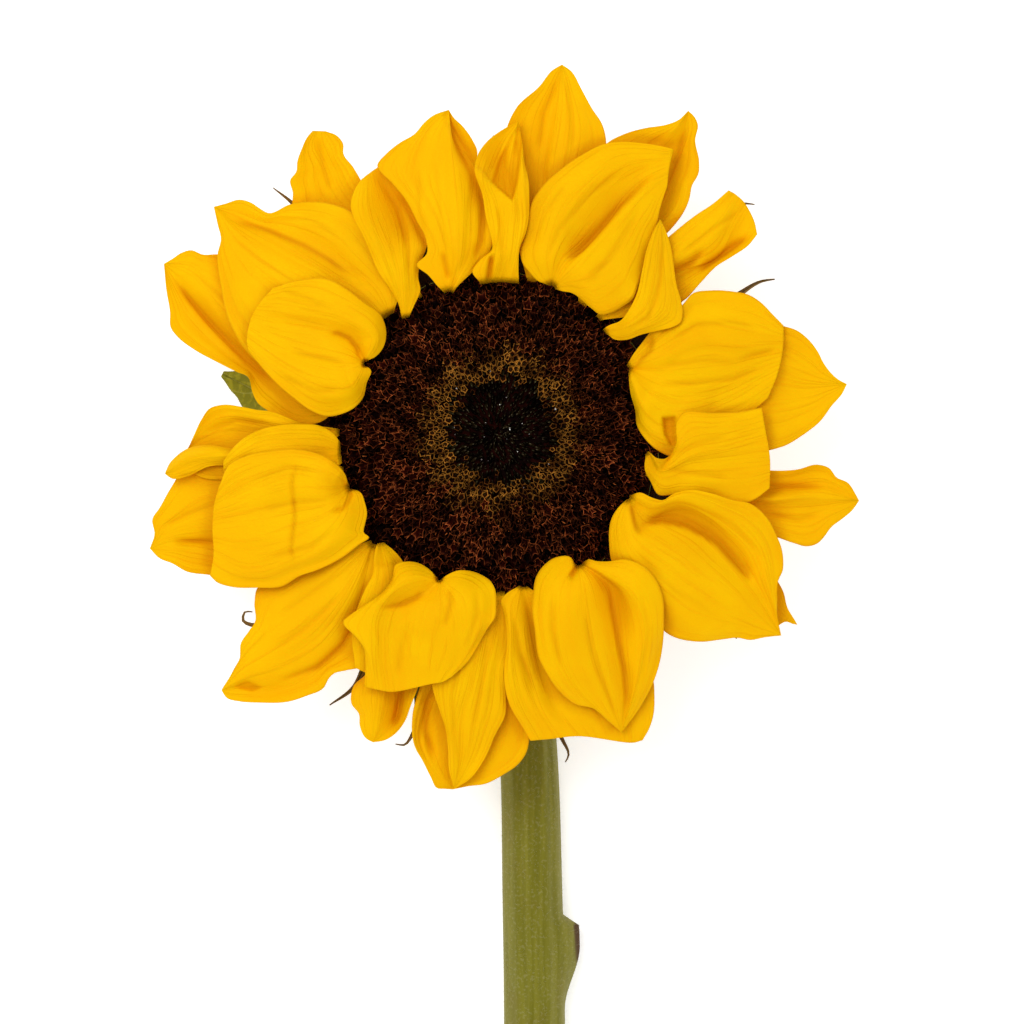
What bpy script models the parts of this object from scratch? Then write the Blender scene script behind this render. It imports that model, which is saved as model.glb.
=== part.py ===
"""A cut sunflower lying on its back: +Z up, stem along -Y, disc facing up.

The tables below are in millimetres, and MM turns them into metres.
"""

import math

import bmesh
import bpy
import numpy as np

MM = 0.001
NAME = "cut_sunflower"

# ---- driving dimensions, in millimetres ----------------------------------------------------------
GAP = 0.35  # clear space between pieces that touch in life
FLOWER_LENGTH = 330.0  # from the far petal tips to the cut end of the stem
FAR_TIP = 69.0  # from the middle of the disc to the petal tip farthest from the stem
STEM_END = FAR_TIP - FLOWER_LENGTH

DISC_RADIUS = 27.0
DISC_PROFILE = [(0, 44.0), (8, 44.6), (14, 45.0), (20, 44.2), (24, 42.2), (DISC_RADIUS, 38.2)]
BUDS_RADIUS = 11.0
INNER_FLORETS_RADIUS = 17.0
TURN_STEPS = 36

CUP_TOP = 36.5
CUP_RIM_RADIUS = 30.3
CUP_PROFILE = [
    (CUP_RIM_RADIUS, CUP_TOP),
    (CUP_RIM_RADIUS + 0.3, 34.5),
    (29.6, 31.5),
    (26.5, 27.0),
    (20.0, 22.5),
    (12.0, 19.9),
    (6.9, 18.2),
]
NECK_TOP = 18.2 - GAP

STEM_PATH = [
    (0.0, 0.0, NECK_TOP),
    (0.1, -1.3, 13.1),
    (0.6, -4.7, 9.7),
    (1.6, -11.0, 7.6),
    (3.2, -26.0, 6.2),
    (4.8, -42.0, 5.5),
    (6.3, -61.0, 5.4),
    (7.0, -87.0, 5.6),
    (7.4, -112.0, 5.7),
    (6.4, -165.0, 5.9),
    (7.6, -215.0, 6.1),
    (10.8, STEM_END, 6.3),
]
STEM_RADII = [6.4, 6.1, 5.8, 5.6, 5.4, 5.3, 5.4, 5.6, 5.7, 5.9, 6.1, 6.3]
STEM_RINGS = 40
STEM_SIDES = 14
# Each scar of a stripped leaf: its place down the stem (y), its direction round the stem in degrees from
# +X, and its height.
LEAF_SCARS = [(-95.0, 12.0, 3.2), (-163.0, 150.0, 2.6), (-236.0, 35.0, 2.8)]
SCAR_HALF_ANGLE = 0.62
# A scar's outline along the stem, measured from its place: its top, the lengths of its shoulder and its
# taper, and its foot.
SCAR_TOP = 4.2
SCAR_SHOULDER = 2.5
SCAR_TAPER = 12.0
SCAR_FOOT = -14.0
STEM_RING_CROWDING = 1.6  # above 1, rings crowd towards the bend at the neck

PETAL_THICKNESS = 0.55
PETAL_ROWS = 10
PETAL_COLUMNS = 7
CLAW_HEIGHT = CUP_TOP + GAP + PETAL_THICKNESS
TIP_IS_A_POINT = 0.05  # a tip narrower than this is one point
CLAW_SHARE = 0.12  # share of a petal's length in which it climbs from the rim
PETAL_CREST = [(24, 43.0), (28, 44.0), (34, 44.5), (45, 42.5), (56, 40.0), (70, 36.5)]
LAYER_DROP = {"back": 4.0, "middle": 2.0, "front": 0.0}

BRACT_THICKNESS = 0.7
BRACT_ROWS = 9
BRACT_SHARES = [0, 0.15, 0.4, 0.6, 0.8, 1.0]  # places along a bract
BRACT_WIDTHS = [0.75, 1.0, 0.85, 0.4, 0.13, 0.06]  # its width there, as a share of its widest
BRACT_BULGE = 0.3
BRACT_CUPPING = 0.12  # rise of a bract's edges as a share of its half-width
LEAF_THICKNESS = 0.7
LEAF_DROOP = 0.16  # fall of the leaf's edges as a share of its half-width
LEAF_CLEARANCE = 0.05  # between the leaf and the surface under it

PILE_CELL = 0.5
PILE_HALF_WIDTH = 76.0
SAMPLE_SHARE = 0.8  # spacing of the sheets' samples as a share of a cell
NOTHING_THERE = -100.0  # height of an empty cell
SMOOTHING_ROUNDS = 6
MERGE_DISTANCE = 1e-6  # metres

# ---- colours -------------------------------------------------------------------------------------
PETAL_YELLOW = (0.93, 0.48, 0.004)
DISC_BROWN = (0.035, 0.012, 0.006)
BUD_GREEN = (0.022, 0.026, 0.012)
RING_GOLD = (0.16, 0.075, 0.015)
STEM_GREEN = (0.20, 0.23, 0.028)
LEAF_GREEN = (0.12, 0.17, 0.02)
BRACT_GREEN = (0.14, 0.19, 0.03)

# ---- ray petals ----------------------------------------------------------------------------------
# Each petal is a loft through ribs that run from its claw, on the rim of the cup, to its tip. A rib's
# points are (x, y) or (x, y, h), seen from above in millimetres from the middle of the disc, with h the
# height of a ridge, or below zero the depth of a crease, over the petal's own arch. The first rib is the
# petal's left edge, seen from the disc, and the last its right edge. The petals are listed as they lie,
# from the bottom of the pile up.
PETALS = [
    ("petal_n_back", "back", [
        [(6.0, 28.4), (3.5, 38), (2.2, 50), (2.1, 57), (4, 61), (8.2, 65), (10.7, 68.1),
         (12.4, 69.1)],
        [(6.5, 28.3), (7.5, 42, 1.2), (8, 50, -0.6), (9.8, 62, -0.6), (12.4, 69.1)],
        [(6.9, 28.3), (10, 40, 1.6), (12, 50, 1), (13.4, 60, 1), (12.4, 69.1)],
        [(7.4, 28.2), (14, 38), (18.5, 48), (20.6, 54.2), (19.8, 58), (18, 60.8), (16, 64.5),
         (14, 68), (12.4, 69.1)],
    ]),
    ("petal_ne_back", "back", [
        [(15.4, 24.4), (15, 36), (17.5, 48), (20.7, 54.2), (24, 56), (28, 57.2), (32, 57.9),
         (34, 58.7), (35.9, 60.5)],
        [(15.8, 24.1), (20, 36, 1), (26, 48, 1.5), (30, 54, -1.5), (33.5, 57, 0.5), (35.9, 60.5)],
        [(16.1, 23.9), (22, 35, 0.5), (30, 44, -1), (32.6, 50.5, -2), (35.3, 56, -1.2),
         (35.9, 60.5)],
        [(16.5, 23.6), (26, 32), (36.1, 44.2), (36.5, 46.3), (37.8, 48.8), (37.9, 51), (37.2, 55),
         (37.7, 58), (37, 59.5), (35.9, 60.5)],
    ]),
    ("petal_e_back", "back", [
        [(27.5, 8), (38, 18), (48, 21), (53.5, 20.3), (56, 19.5), (58, 18), (60, 15.5), (61, 13.5),
         (64, 10.3), (65.4, 9.6)],
        [(27.7, 7.3), (40, 11, 1), (50, 10.5, 0.5), (58, 9.3, -0.8), (65.4, 9.6)],
        [(27.8, 6.6), (36, -1), (44, -4), (50.3, -2.9), (54, -1.8), (57, 0), (60.5, 2.8),
         (62.5, 5.5), (64.5, 7.8), (65.4, 9.6)],
    ]),
    ("petal_ese_back", "back", [
        [(27.9, -6), (38, -5), (46, -5.8), (51.2, -6.5), (56, -6.3), (60, -5.4), (62, -6),
         (63.5, -7.8), (65.5, -8.7), (67, -10.8), (67.7, -12.1)],
        [(27.8, -6.4), (40, -8.5), (50, -9.8, -1.2), (56, -8.9, -1.3), (61, -8.6, -0.8),
         (67.7, -12.1)],
        [(27.7, -6.7), (40, -10), (50, -11.8, 0.9), (58, -11.2, 0.9), (67.7, -12.1)],
        [(27.6, -7), (38, -11.5), (50, -13.7, -0.6), (58, -13.6, -0.6), (64, -12.6), (67.7, -12.1)],
        [(27.5, -7.3), (36, -12), (44, -16.5), (52, -18.8), (55.5, -20), (58, -20.6), (60, -20),
         (61, -19), (62.5, -17), (64.5, -15.5), (66.5, -13.8), (67.7, -12.1)],
    ]),
    ("petal_se_back", "back", [
        [(22.0, -18.2), (34, -20), (46, -23), (52.4, -27), (53.5, -29), (54.3, -32), (55.7, -34.3),
         (56.2, -35.2)],
        [(21.7, -18.6), (34, -24, 1), (46, -30, 1), (52.5, -33.2), (56.2, -35.2)],
        [(21.3, -19.0), (30, -26), (40, -33), (48, -36), (52.5, -35.4), (54, -34.6), (55.3, -35),
         (56.2, -35.2)],
    ]),
    ("petal_s_back", "back", [
        [(-3.4, -28.5), (1, -40), (5, -50), (6.3, -56.5), (5.8, -58.8), (4.5, -60.8), (1.5, -63),
         (-2, -64.8), (-5, -65.2), (-7.9, -65.8)],
        [(-4, -28.4), (-3, -42, 1), (-5, -54, -0.5), (-7.3, -61, -0.6), (-7.9, -65.8)],
        [(-4.4, -28.4), (-8, -42, 1), (-11.5, -50, -1.5), (-13, -56, -1.5), (-11, -62),
         (-7.9, -65.8)],
        [(-4.8, -28.3), (-11, -38), (-14, -46.7), (-15.4, -52), (-14.9, -58), (-13.5, -60.5),
         (-12, -63.5), (-10.8, -65.6), (-9.5, -65.7), (-7.9, -65.8)],
    ]),
    ("petal_ssw_back", "back", [
        [(-13.9, -25.2), (-12.5, -36), (-13.5, -44), (-14.5, -47.2), (-15.8, -50.5), (-16.5, -52.5),
         (-18, -54.8), (-20.5, -56.6), (-22.7, -57)],
        [(-14.2, -25.0), (-17, -36, 1), (-18, -46, -1.5), (-18.5, -52, -1.8), (-21, -55.5, -0.3),
         (-22.7, -57)],
        [(-14.5, -24.9), (-19, -36, 1.5), (-21.5, -47, 1.2), (-22, -53, 0.8), (-22.7, -57)],
        [(-14.9, -24.6), (-21, -34), (-24, -44.3), (-26.3, -46.5), (-26.7, -49.8), (-25.3, -51.8),
         (-25.2, -53.8), (-24, -56.3), (-22.7, -57)],
    ]),
    ("petal_wsw_back", "back", [
        [(-24.9, -14.2), (-36, -24), (-46, -27), (-53, -25.9), (-57.5, -25.2), (-60, -23.8),
         (-62.5, -22.8), (-64.3, -21)],
        [(-25.1, -13.8), (-40, -21, 1), (-50, -21.5, -1.8), (-56, -20.5, -1.5), (-60, -20.3, -0.3),
         (-64.3, -21)],
        [(-25.3, -13.4), (-40, -16, 1), (-50, -15.5, 0.8), (-56, -16.6, -0.6), (-61, -18.3, -0.4),
         (-64.3, -21)],
        [(-25.5, -13.0), (-38, -8), (-50, -5), (-57, -5.5), (-60.5, -10), (-62.5, -13.5),
         (-63.8, -15.5), (-63.4, -18.3), (-64.3, -21)],
    ]),
    ("petal_wnw_back", "back", [
        [(-28.1, 5.8), (-33, 2.2), (-37, 2.2), (-40, 3.2), (-42, 4.5), (-44, 6), (-45, 8),
         (-45.8, 10.8), (-48, 11.8), (-52, 13.8), (-56, 16), (-59, 18.3), (-60.3, 20), (-60.5, 23),
         (-61.2, 27), (-61.7, 32)],
        [(-28.0, 6.2), (-36, 5.5, -0.6), (-41, 9.5, -1.2), (-47, 14.5, -1.6), (-54, 21.5, -1.5),
         (-60, 29.3, -0.5), (-61.7, 32)],
        [(-27.9, 6.6), (-36, 10, 0.5), (-44, 17, 1), (-51, 25, 1), (-57, 31, 0.5), (-61.7, 32)],
        [(-27.7, 7.0), (-34, 16), (-42, 27), (-51.5, 33.7), (-54.5, 33.7), (-56.5, 34.5),
         (-58.5, 34), (-60, 33), (-61.7, 32)],
    ]),
    ("petal_nnw_back", "back", [
        [(-14.2, 25.2), (-26, 34), (-37.7, 43), (-37.6, 45), (-38.1, 47.5), (-37, 49), (-36.8, 51),
         (-36, 53.3), (-35, 55.5), (-34, 56.7)],
        [(-13.8, 25.4), (-24, 38, 1), (-31, 46, -1.5), (-32.2, 50, -1.5), (-34, 54, -0.6),
         (-33.2, 56.7)],
        [(-13.4, 25.6), (-19, 36), (-24.9, 47.3), (-26.5, 50), (-28.2, 52.3), (-28.3, 54.3),
         (-29.5, 55.8), (-31.5, 56.6)],
    ]),
    ("petal_w_back", "back", [
        [(-28.6, 0.1), (-38, -5), (-48, -8), (-55, -7.5), (-58.5, -4)],
        [(-28.7, 0.6), (-40, 0, 1), (-50, 0.8, -1), (-55, -1, -0.6), (-58.5, -4)],
        [(-28.6, 1.1), (-36, 2.4), (-42, 4.5), (-44, 4.7), (-47, 5.3), (-50.5, 5.7), (-53, 5),
         (-54.5, 3), (-56, 0), (-57.2, -2.5), (-58.5, -4)],
    ]),
    ("petal_ne_middle", "middle", [
        [(18.6, 22.0), (26, 31), (33, 37.5), (38, 41.4), (40, 42.7), (43.3, 45.5)],
        [(18.8, 21.8), (28, 29, 1), (36, 35, 0.8), (41, 39, 1), (44.8, 44.6)],
        [(19.0, 21.6), (28, 27.5), (35, 31, -1.3), (41, 33.5, -1), (44.3, 39.5, -0.5), (46.4, 43)],
        [(19.1, 21.4), (28, 25.5), (36, 30, -1.8), (41, 32.6, -1.5), (44.5, 35.3, -1.3),
         (48, 40, -0.4)],
        [(19.3, 21.2), (28, 22.5), (35, 25), (38, 28.2), (41, 31.3), (44, 33.2), (47, 35.3),
         (48.6, 37.3)],
    ]),
    ("petal_w_curled", "middle", [
        [(-27.9, -6.9), (-38, -7.5), (-47, -6), (-53, -5.8), (-57, -7.6), (-60, -8), (-61.2, -7.2)],
        [(-28.0, -6.4), (-38, -5, 1), (-49, -3.9, 1.5), (-56, -4.4, 1.8), (-61.2, -7.0, 0.8)],
        [(-28.1, -5.9), (-38, -2), (-49, -2.4), (-54, -1.8), (-57.2, -2.5), (-59, -3.7),
         (-60.5, -5.3), (-61.2, -6.8)],
    ]),
    ("petal_w_middle", "middle", [
        [(-28.3, -5.2), (-32, -8.5), (-39, -11), (-46, -11), (-50, -8.5)],
        [(-28.5, -3.4), (-36, -4, 1.2), (-43, -4.5, 0.8), (-50.2, -6.6)],
        [(-28.6, -1.4), (-29.6, 0), (-32, 1.6), (-36, 2.1), (-40.5, 1.8), (-44.7, 0.5),
         (-48.3, -2.2), (-50.2, -4.8)],
    ]),
    ("petal_e_middle", "middle", [
        [(24.3, 12.9), (25.4, 14.8), (27.2, 17.2), (28.9, 19.4), (31, 21.5), (34.5, 24),
         (36.5, 26.2), (40, 26.8), (44, 26.6), (47, 26), (49, 24.8), (51.5, 22.3), (53.4, 20.4)],
        [(24.6, 12.4), (30, 14.5, 1.2), (38, 18, 1.6), (46, 17.5, 1), (53.4, 17.4)],
        [(24.7, 12.2), (29, 10.5), (34, 9.6, -0.5), (42, 10.4, -0.4), (48, 12.6, -0.3), (53, 14.2)],
        [(24.7, 11.9), (27, 6, 1.5), (31.5, 2.5, -2), (36, 3, -1), (44, 6), (52, 10.6, 0.3)],
        [(24.6, 11.6), (24.9, 8), (25.9, 4.2), (26.1, 2), (27.5, -0.5), (30.2, -3), (32.8, -4),
         (36, -2.6), (40, 0.4), (46, 3.2), (50.4, 6.8)],
    ]),
    ("petal_s_middle", "middle", [
        [(1.7, -28.8), (2.3, -32), (2.9, -36), (2.8, -39), (1.6, -43), (2, -49), (1.9, -51.5),
         (0, -55.5), (-2, -60), (-5, -64), (-7.6, -65.6)],
        [(1.3, -28.8), (0, -36), (-1.5, -44, 0.8), (-3, -52, 0.6), (-5, -60, -0.3), (-7.6, -65.6)],
        [(0.9, -28.8), (-4, -38, 1), (-6, -46, 1), (-7.5, -53), (-7.2, -60, 0.2), (-7.6, -65.6)],
        [(0.5, -28.8), (-6, -36), (-11.7, -43), (-11.7, -46), (-10.3, -51), (-9.3, -54),
         (-8.8, -58), (-8.6, -62), (-7.6, -65.6)],
    ]),
    ("petal_sw_middle", "middle", [
        [(-21.6, -20.3), (-20.8, -23), (-21.2, -27), (-22.6, -30), (-24, -34), (-24, -39),
         (-24.3, -42.6), (-27.5, -43.5), (-30, -44.2), (-30.8, -45), (-31.8, -46.8), (-35, -48.3),
         (-38, -49.3), (-44, -49.6), (-47.5, -49.4), (-50, -48.7), (-50.9, -47.3)],
        [(-22.4, -20.1), (-25, -30, -0.5), (-28, -38, -1.2), (-33, -43, -0.9), (-42, -46.8, -0.8),
         (-47, -47, -0.6), (-50.9, -47.3)],
        [(-22.6, -20.0), (-27, -30, 1), (-33, -38, 0.6), (-40, -42, 0.8), (-46, -44.3, 0.8),
         (-50.9, -47.3)],
        [(-22.8, -19.9), (-30, -27, 1), (-37, -33, 1.2), (-43, -38, 0.8), (-48, -43),
         (-50.9, -47.3)],
        [(-23, -19.4), (-28.5, -21.4), (-35, -24.2), (-41, -27), (-44, -28.2), (-44.6, -31),
         (-44.5, -34.5), (-45.7, -36.3), (-47.2, -38.5), (-47.5, -41.5), (-48.5, -43.3), (-49, -45),
         (-50.3, -46.3), (-50.9, -47.3)],
    ]),
    ("petal_sw_sliver", "middle", [
        [(-20.6, -19.8), (-18.4, -21.6), (-16.4, -24.5), (-15.8, -30), (-17.5, -38), (-21, -44)],
        [(-21.1, -19.9), (-20, -25, 0.8), (-20, -31, 0.5), (-21.5, -38), (-23.5, -44)],
        [(-21.8, -20), (-22.4, -23), (-22.6, -25.5), (-24, -28.5), (-26.3, -35), (-26, -43)],
    ]),
    ("petal_nw_middle", "middle", [
        [(-20.8, 21.2), (-26.5, 16.5), (-34, 12.5), (-40.5, 11.8), (-44.8, 14.2), (-47.1, 17.1),
         (-49.6, 22), (-50.9, 28), (-51.5, 33.7), (-50.9, 36.5), (-51.5, 39), (-52.3, 42.5)],
        [(-20.7, 21.4), (-30, 26, 1), (-40, 31, 1.2), (-47, 36, 0.6), (-52.3, 42.5)],
        [(-19.8, 22.1), (-23, 26.5), (-28.5, 30.5, -1.3), (-34, 34.3, -1.2), (-40, 37.2, -0.8),
         (-46.5, 39.8, -0.9), (-52.3, 42.5)],
        [(-18.8, 22.6), (-17.8, 26), (-19.8, 31), (-22.6, 36.5), (-26, 41), (-31, 43), (-38, 42.8),
         (-42.3, 41.3), (-43.5, 42), (-45.5, 43.3), (-47.5, 43.8), (-50, 43.1), (-52.3, 42.5)],
    ]),
    ("petal_s_right", "middle", [
        [(5.8, -27.9), (14, -33), (24, -40), (29.3, -45.5), (29.5, -48), (29.3, -52), (28.5, -54.5),
         (27.3, -56.6)],
        [(5.5, -27.9), (12, -38, 0.5), (19, -47, 0.8), (23.5, -52, 0.5), (24.5, -57)],
        [(5.2, -27.9), (8, -38, -1), (10.5, -46, -1), (13, -52), (16, -55.8)],
        [(4.9, -27.9), (3.8, -36, 1), (4.5, -44, 1), (7, -51, 0.8), (10, -56.3)],
        [(4.5, -27.8), (2, -29.3), (1.1, -30.3), (1.6, -33), (2.2, -37), (2.1, -39), (1.6, -43),
         (1.7, -46), (2.5, -49.5), (5, -54), (6.5, -56.6)],
    ]),
    ("petal_nnw_middle", "middle", [
        [(-17.2, 21.4), (-17.9, 24.3), (-19.4, 26.9), (-21.7, 30.3), (-23.1, 33.7), (-24.4, 36.8),
         (-26.3, 40.5), (-26.7, 42), (-26, 45.5), (-24.9, 47.3)],
        [(-16.9, 21.5), (-17.8, 26, 1), (-20, 33, 1.4), (-23.5, 41, 1), (-23.8, 48.2)],
        [(-16.6, 21.6), (-16.5, 27, 1.3), (-16.8, 33, 0.8), (-17.5, 39, -1.6), (-20.5, 46, -1),
         (-22, 49.5)],
        [(-15.9, 21.8), (-14.9, 24), (-13.8, 26.8), (-14.2, 29.2), (-13.8, 31.8), (-12.6, 35),
         (-15, 42), (-18.5, 51.5)],
    ]),
    ("petal_e_front", "front", [
        [(28.2, -3), (29.5, -4.2), (31.2, -4.4), (32.6, -3.2), (33.4, -1), (33.4, 2.2), (34.3, 3.8),
         (40, 4.1), (45, 4.3), (49.2, 5.1)],
        [(28.2, -3), (30.5, -6, 1.5), (36, -3, 1.2), (43, -1.5, 0.6), (50, 0.5)],
        [(28.1, -3.2), (30, -7, 1.5), (36, -5.5, 0.8), (43, -5, 0.4), (50.8, -4.5)],
        [(27.8, -3.4), (27.6, -6.5), (28.6, -8.5), (30, -11), (33.5, -11), (38, -11.5), (43, -12.6),
         (46.8, -12.4), (48.5, -11.5), (50.7, -9.8)],
    ]),
    ("petal_se_front", "front", [
        [(24.8, -11.2), (26.5, -10.6), (29, -11.6), (31, -12), (32.5, -11), (36, -10.1),
         (40, -10.8), (44, -12), (47, -12.6), (50, -15), (52, -18.5), (53, -21), (53.3, -23),
         (53.2, -25), (52.4, -26.8), (52.2, -31), (52.2, -34), (53, -37.1)],
        [(24.8, -11.4), (29, -13.3, 0.5), (34, -12, 1.2), (41, -14.5, 1.2), (48, -20, 1),
         (51, -29, 0.5), (53, -37.1)],
        [(24.7, -11.6), (28.5, -15), (33, -14.6, -1.2), (38, -17, -1.2), (42.5, -21.5, -1),
         (48.2, -28.8, -0.5), (53, -37.1)],
        [(24.6, -11.8), (25, -18, 2), (33, -25, 2.4), (42, -31, 1.8), (50, -35.5, 0.4),
         (53, -37.1)],
        [(24.4, -11.8), (23, -13), (21.3, -15.8), (21, -17.5), (21, -20), (21.3, -22.8),
         (24.5, -28), (28.5, -33), (32, -36.8), (38, -38.2), (42, -37.8), (45, -37.5), (47, -37.9),
         (50, -37.4), (53, -37.1)],
    ]),
    ("petal_ne_front", "front", [
        [(10.0, 27.7), (8, 28.3), (6.3, 30), (5, 31.7), (4.7, 34), (5.3, 36), (6, 40), (6.8, 43),
         (9, 46.3), (12, 49), (16, 51.8), (20.5, 54), (24, 54.3), (28, 54), (31.5, 53.4), (33, 53)],
        [(10.3, 27.7), (9.8, 33, 2), (12, 40, 1.8), (17, 46.5, 1.2), (23, 51, 0.6), (32.7, 51.7)],
        [(10.6, 27.6), (12.5, 31.5, 0.5), (16.5, 34.8, -1.5), (20.5, 39.5, -1.7), (23.5, 44, -1.4),
         (28, 48, -0.5), (32.3, 50)],
        [(10.9, 27.4), (14.5, 30.5, 1.6), (19.5, 36, 1.4), (24.5, 42, 1.4), (28.5, 46, 0.8),
         (32, 48)],
        [(11.0, 27.1), (12, 26.6), (14, 26.2), (17.5, 23.5), (19.4, 22.2), (22, 22.8), (24, 24),
         (25, 24.7), (26.5, 28), (27.5, 31), (28.3, 35), (29.7, 38.5), (30.5, 42), (31.8, 46)],
    ]),
    ("petal_n_middle", "front", [
        [(-9.3, 26.2), (-10.4, 27.2), (-12.4, 29.5), (-14.5, 31.3), (-12.6, 33.4), (-12.9, 36.5),
         (-14.5, 39.5), (-16.6, 43.5), (-19, 46.4), (-21.8, 50), (-20, 52.2), (-17.5, 54.2),
         (-15, 55.7), (-13, 58), (-11.5, 59.2), (-8.6, 60.3)],
        [(-8.6, 26.4), (-8.9, 33, 0.5), (-11, 40, 1.4), (-14.5, 48, 1), (-12.5, 56, 0.3),
         (-8.6, 60.3)],
        [(-8.4, 26.4), (-6.8, 33, 2), (-7, 42, 1.8), (-8, 51, 1.2), (-8.6, 60.3)],
        [(-8.1, 26.4), (-5, 33, 1), (-4.2, 42), (-4.2, 49.5, -1), (-6.5, 53, -1.8),
         (-8.2, 56.5, -1.5), (-8.6, 60.3)],
        [(-7.8, 26.3), (-6.5, 27.8), (-4.6, 29.6), (-2.3, 32), (-0.7, 34.3), (-0.5, 36), (-0.9, 39),
         (-1.5, 42), (-3, 47), (-3.6, 50), (-3.3, 52.5), (-4.3, 54.8), (-6, 57.2), (-7.8, 59),
         (-8.6, 60.3)],
    ]),
    ("petal_n_front", "front", [
        [(-2.6, 27.9), (-4.2, 30), (-2.8, 32.2), (-0.6, 34.2), (-0.9, 37), (-1.7, 40), (-2.3, 44),
         (-3.8, 49.5), (-3.2, 51.8), (-1.5, 54.3), (2, 57), (4.3, 58.2)],
        [(-1.1, 28.1), (0.2, 34, 1.5), (0.8, 39, 1), (0.2, 43, 0.8), (-1, 46.2, 0.8), (0, 50, -2.2),
         (1.5, 54, -2), (4.3, 58.2)],
        [(0.9, 28.2), (2.2, 34, 2), (2.5, 38, 1.8), (3, 43, 1.8), (2.4, 48, -1.2), (3, 53, -0.6),
         (4.3, 58.2)],
        [(2.8, 28.1), (4, 34, 1.6), (4.8, 40, 1.6), (4.4, 45, 1.8), (4.8, 49, 1.2), (4.3, 53, -0.3),
         (4.3, 58.2)],
        [(4.4, 28.0), (4.3, 31), (4.6, 34.5), (5.6, 37), (6.2, 40), (6.3, 44), (6, 48), (5.4, 50.5),
         (5, 54), (4.3, 58.2)],
    ]),
    ("petal_sse_front", "front", [
        [(16.3, -23.5), (17.2, -22.9), (18.5, -23.2), (20.5, -23.3), (24, -22.9), (27, -24),
         (29.5, -26.5), (30.8, -29.5), (31.1, -34), (31, -38), (30.5, -41.5), (29.3, -45.5),
         (27, -50), (23.4, -55)],
        [(16.1, -23.7), (19, -25, 1), (25, -29, 2.4), (27.5, -36, 2), (27, -43, 1.4),
         (25.5, -49, 0.6), (23.4, -55)],
        [(15.8, -23.9), (18.5, -25.5), (21.3, -28, -1), (22.6, -33, -1.3), (23.4, -40, -1.1),
         (24.5, -47, -0.6), (23.4, -55)],
        [(15.5, -24.0), (17, -26.5, 1.2), (18.4, -32, 1), (20.2, -40, 0.8), (22, -48, 0.4),
         (23.4, -55)],
        [(15.1, -23.9), (13, -28, 2), (12.5, -35, 2), (14, -43, 1.4), (18, -49, 0.6), (23.4, -55)],
        [(14.7, -23.6), (14, -22.6), (11, -22.6), (9, -24), (7.6, -26), (7, -29), (6.8, -31.5),
         (7.3, -36), (8, -41), (9.5, -44), (12, -47.5), (15, -49.8), (18, -50.5), (21, -53),
         (23.4, -55)],
    ]),
    ("petal_ssw_front", "front", [
        [(-9.9, -26.5), (-8.5, -25.6), (-7, -25), (-5, -25), (-2.5, -25.8), (-0.8, -27), (0, -28.5),
         (0.2, -31), (0, -33.5), (-1.3, -35.5), (-3.3, -39), (-5.2, -42), (-8, -44.6)],
        [(-10.1, -26.7), (-6, -30, 2.2), (-5, -36, 1.6), (-6.5, -41, 0.6), (-9.8, -45.6)],
        [(-10.2, -26.8), (-10.5, -31, 0.5), (-11, -38, 0.8), (-12, -46)],
        [(-10.4, -26.8), (-13, -29, -1), (-17.5, -31.5, -2), (-19, -36, -0.5), (-18.5, -47.4)],
        [(-10.5, -26.7), (-15, -26, 1.8), (-20, -29.5, 1), (-22.5, -33, 0.8), (-22.8, -39, 1),
         (-22, -47)],
        [(-10.6, -26.5), (-12, -24.9), (-14.5, -23.5), (-17, -23.4), (-18.3, -23.8), (-19, -26.5),
         (-20.8, -29), (-24, -31.3), (-26.5, -33), (-28, -34.3), (-25.5, -37.5), (-24.3, -39.3),
         (-24, -42), (-24.2, -46.5)],
    ]),
    ("petal_w_front", "front", [
        [(-26.6, -9.9), (-24.8, -10.6), (-24, -12.5), (-23.6, -14.5), (-24, -16.5), (-24.2, -18),
         (-23.2, -18.8), (-25, -20.2), (-28.5, -22.8), (-33, -25), (-36, -26), (-39.5, -28),
         (-44, -28.2), (-49, -28), (-51.5, -27.2), (-52.8, -26)],
        [(-26.8, -9.8), (-27.5, -14, 2), (-31, -19, 2), (-38, -23, 1.4), (-46, -24.8, 0.8),
         (-52.1, -22)],
        [(-26.9, -9.7), (-30, -13.5, 2), (-36.8, -15.5, 0.8), (-44, -17, 1.4), (-52.3, -17.5)],
        [(-27.0, -9.5), (-31, -8.5, 2), (-37.8, -7.5, 0.8), (-44, -9.5, 1), (-52, -13)],
        [(-27.0, -9.3), (-27.6, -7.2), (-29.6, -5), (-32.5, -3.5), (-36.5, -2.7), (-41, -2.9),
         (-45.5, -3.7), (-49, -5.4), (-51, -9.5)],
    ]),
    ("petal_nw_front", "front", [
        [(-23.9, 12.8), (-22.9, 12), (-23.7, 9.5), (-24.3, 7), (-26, 5), (-28.5, 3.8), (-31, 3.4),
         (-34, 4.5), (-37, 6.7), (-40, 9.2), (-42, 11.3), (-44, 13.6), (-45.6, 15.6)],
        [(-24.1, 12.9), (-27, 9, 2.2), (-32, 9, 2), (-38, 12, 1.4), (-43, 15.5, 0.6),
         (-45.9, 17.6)],
        [(-24.2, 13.1), (-26.5, 13.5, 1.2), (-31, 14.2, 0.8), (-38, 16, 0.6), (-43, 18.3, 0.3),
         (-45.6, 19.8)],
        [(-24.1, 13.4), (-25, 16, -0.5), (-27, 18.2, -0.8), (-32, 19.6, -0.3), (-40, 21.2),
         (-44.8, 22.3)],
        [(-24.0, 13.5), (-22.5, 18, 1.8), (-27, 22, 1.4), (-34, 24, 0.8), (-39.5, 25.2, 0.2),
         (-43.2, 24.8)],
        [(-23.8, 13.6), (-22.2, 14.3), (-20.8, 15.8), (-20.1, 18), (-20.3, 20.3), (-21, 22),
         (-24, 24.3), (-27.5, 27), (-31, 28.8), (-36, 28.6), (-41, 27.2)],
    ]),
    ("petal_ene_front", "front", [
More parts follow.
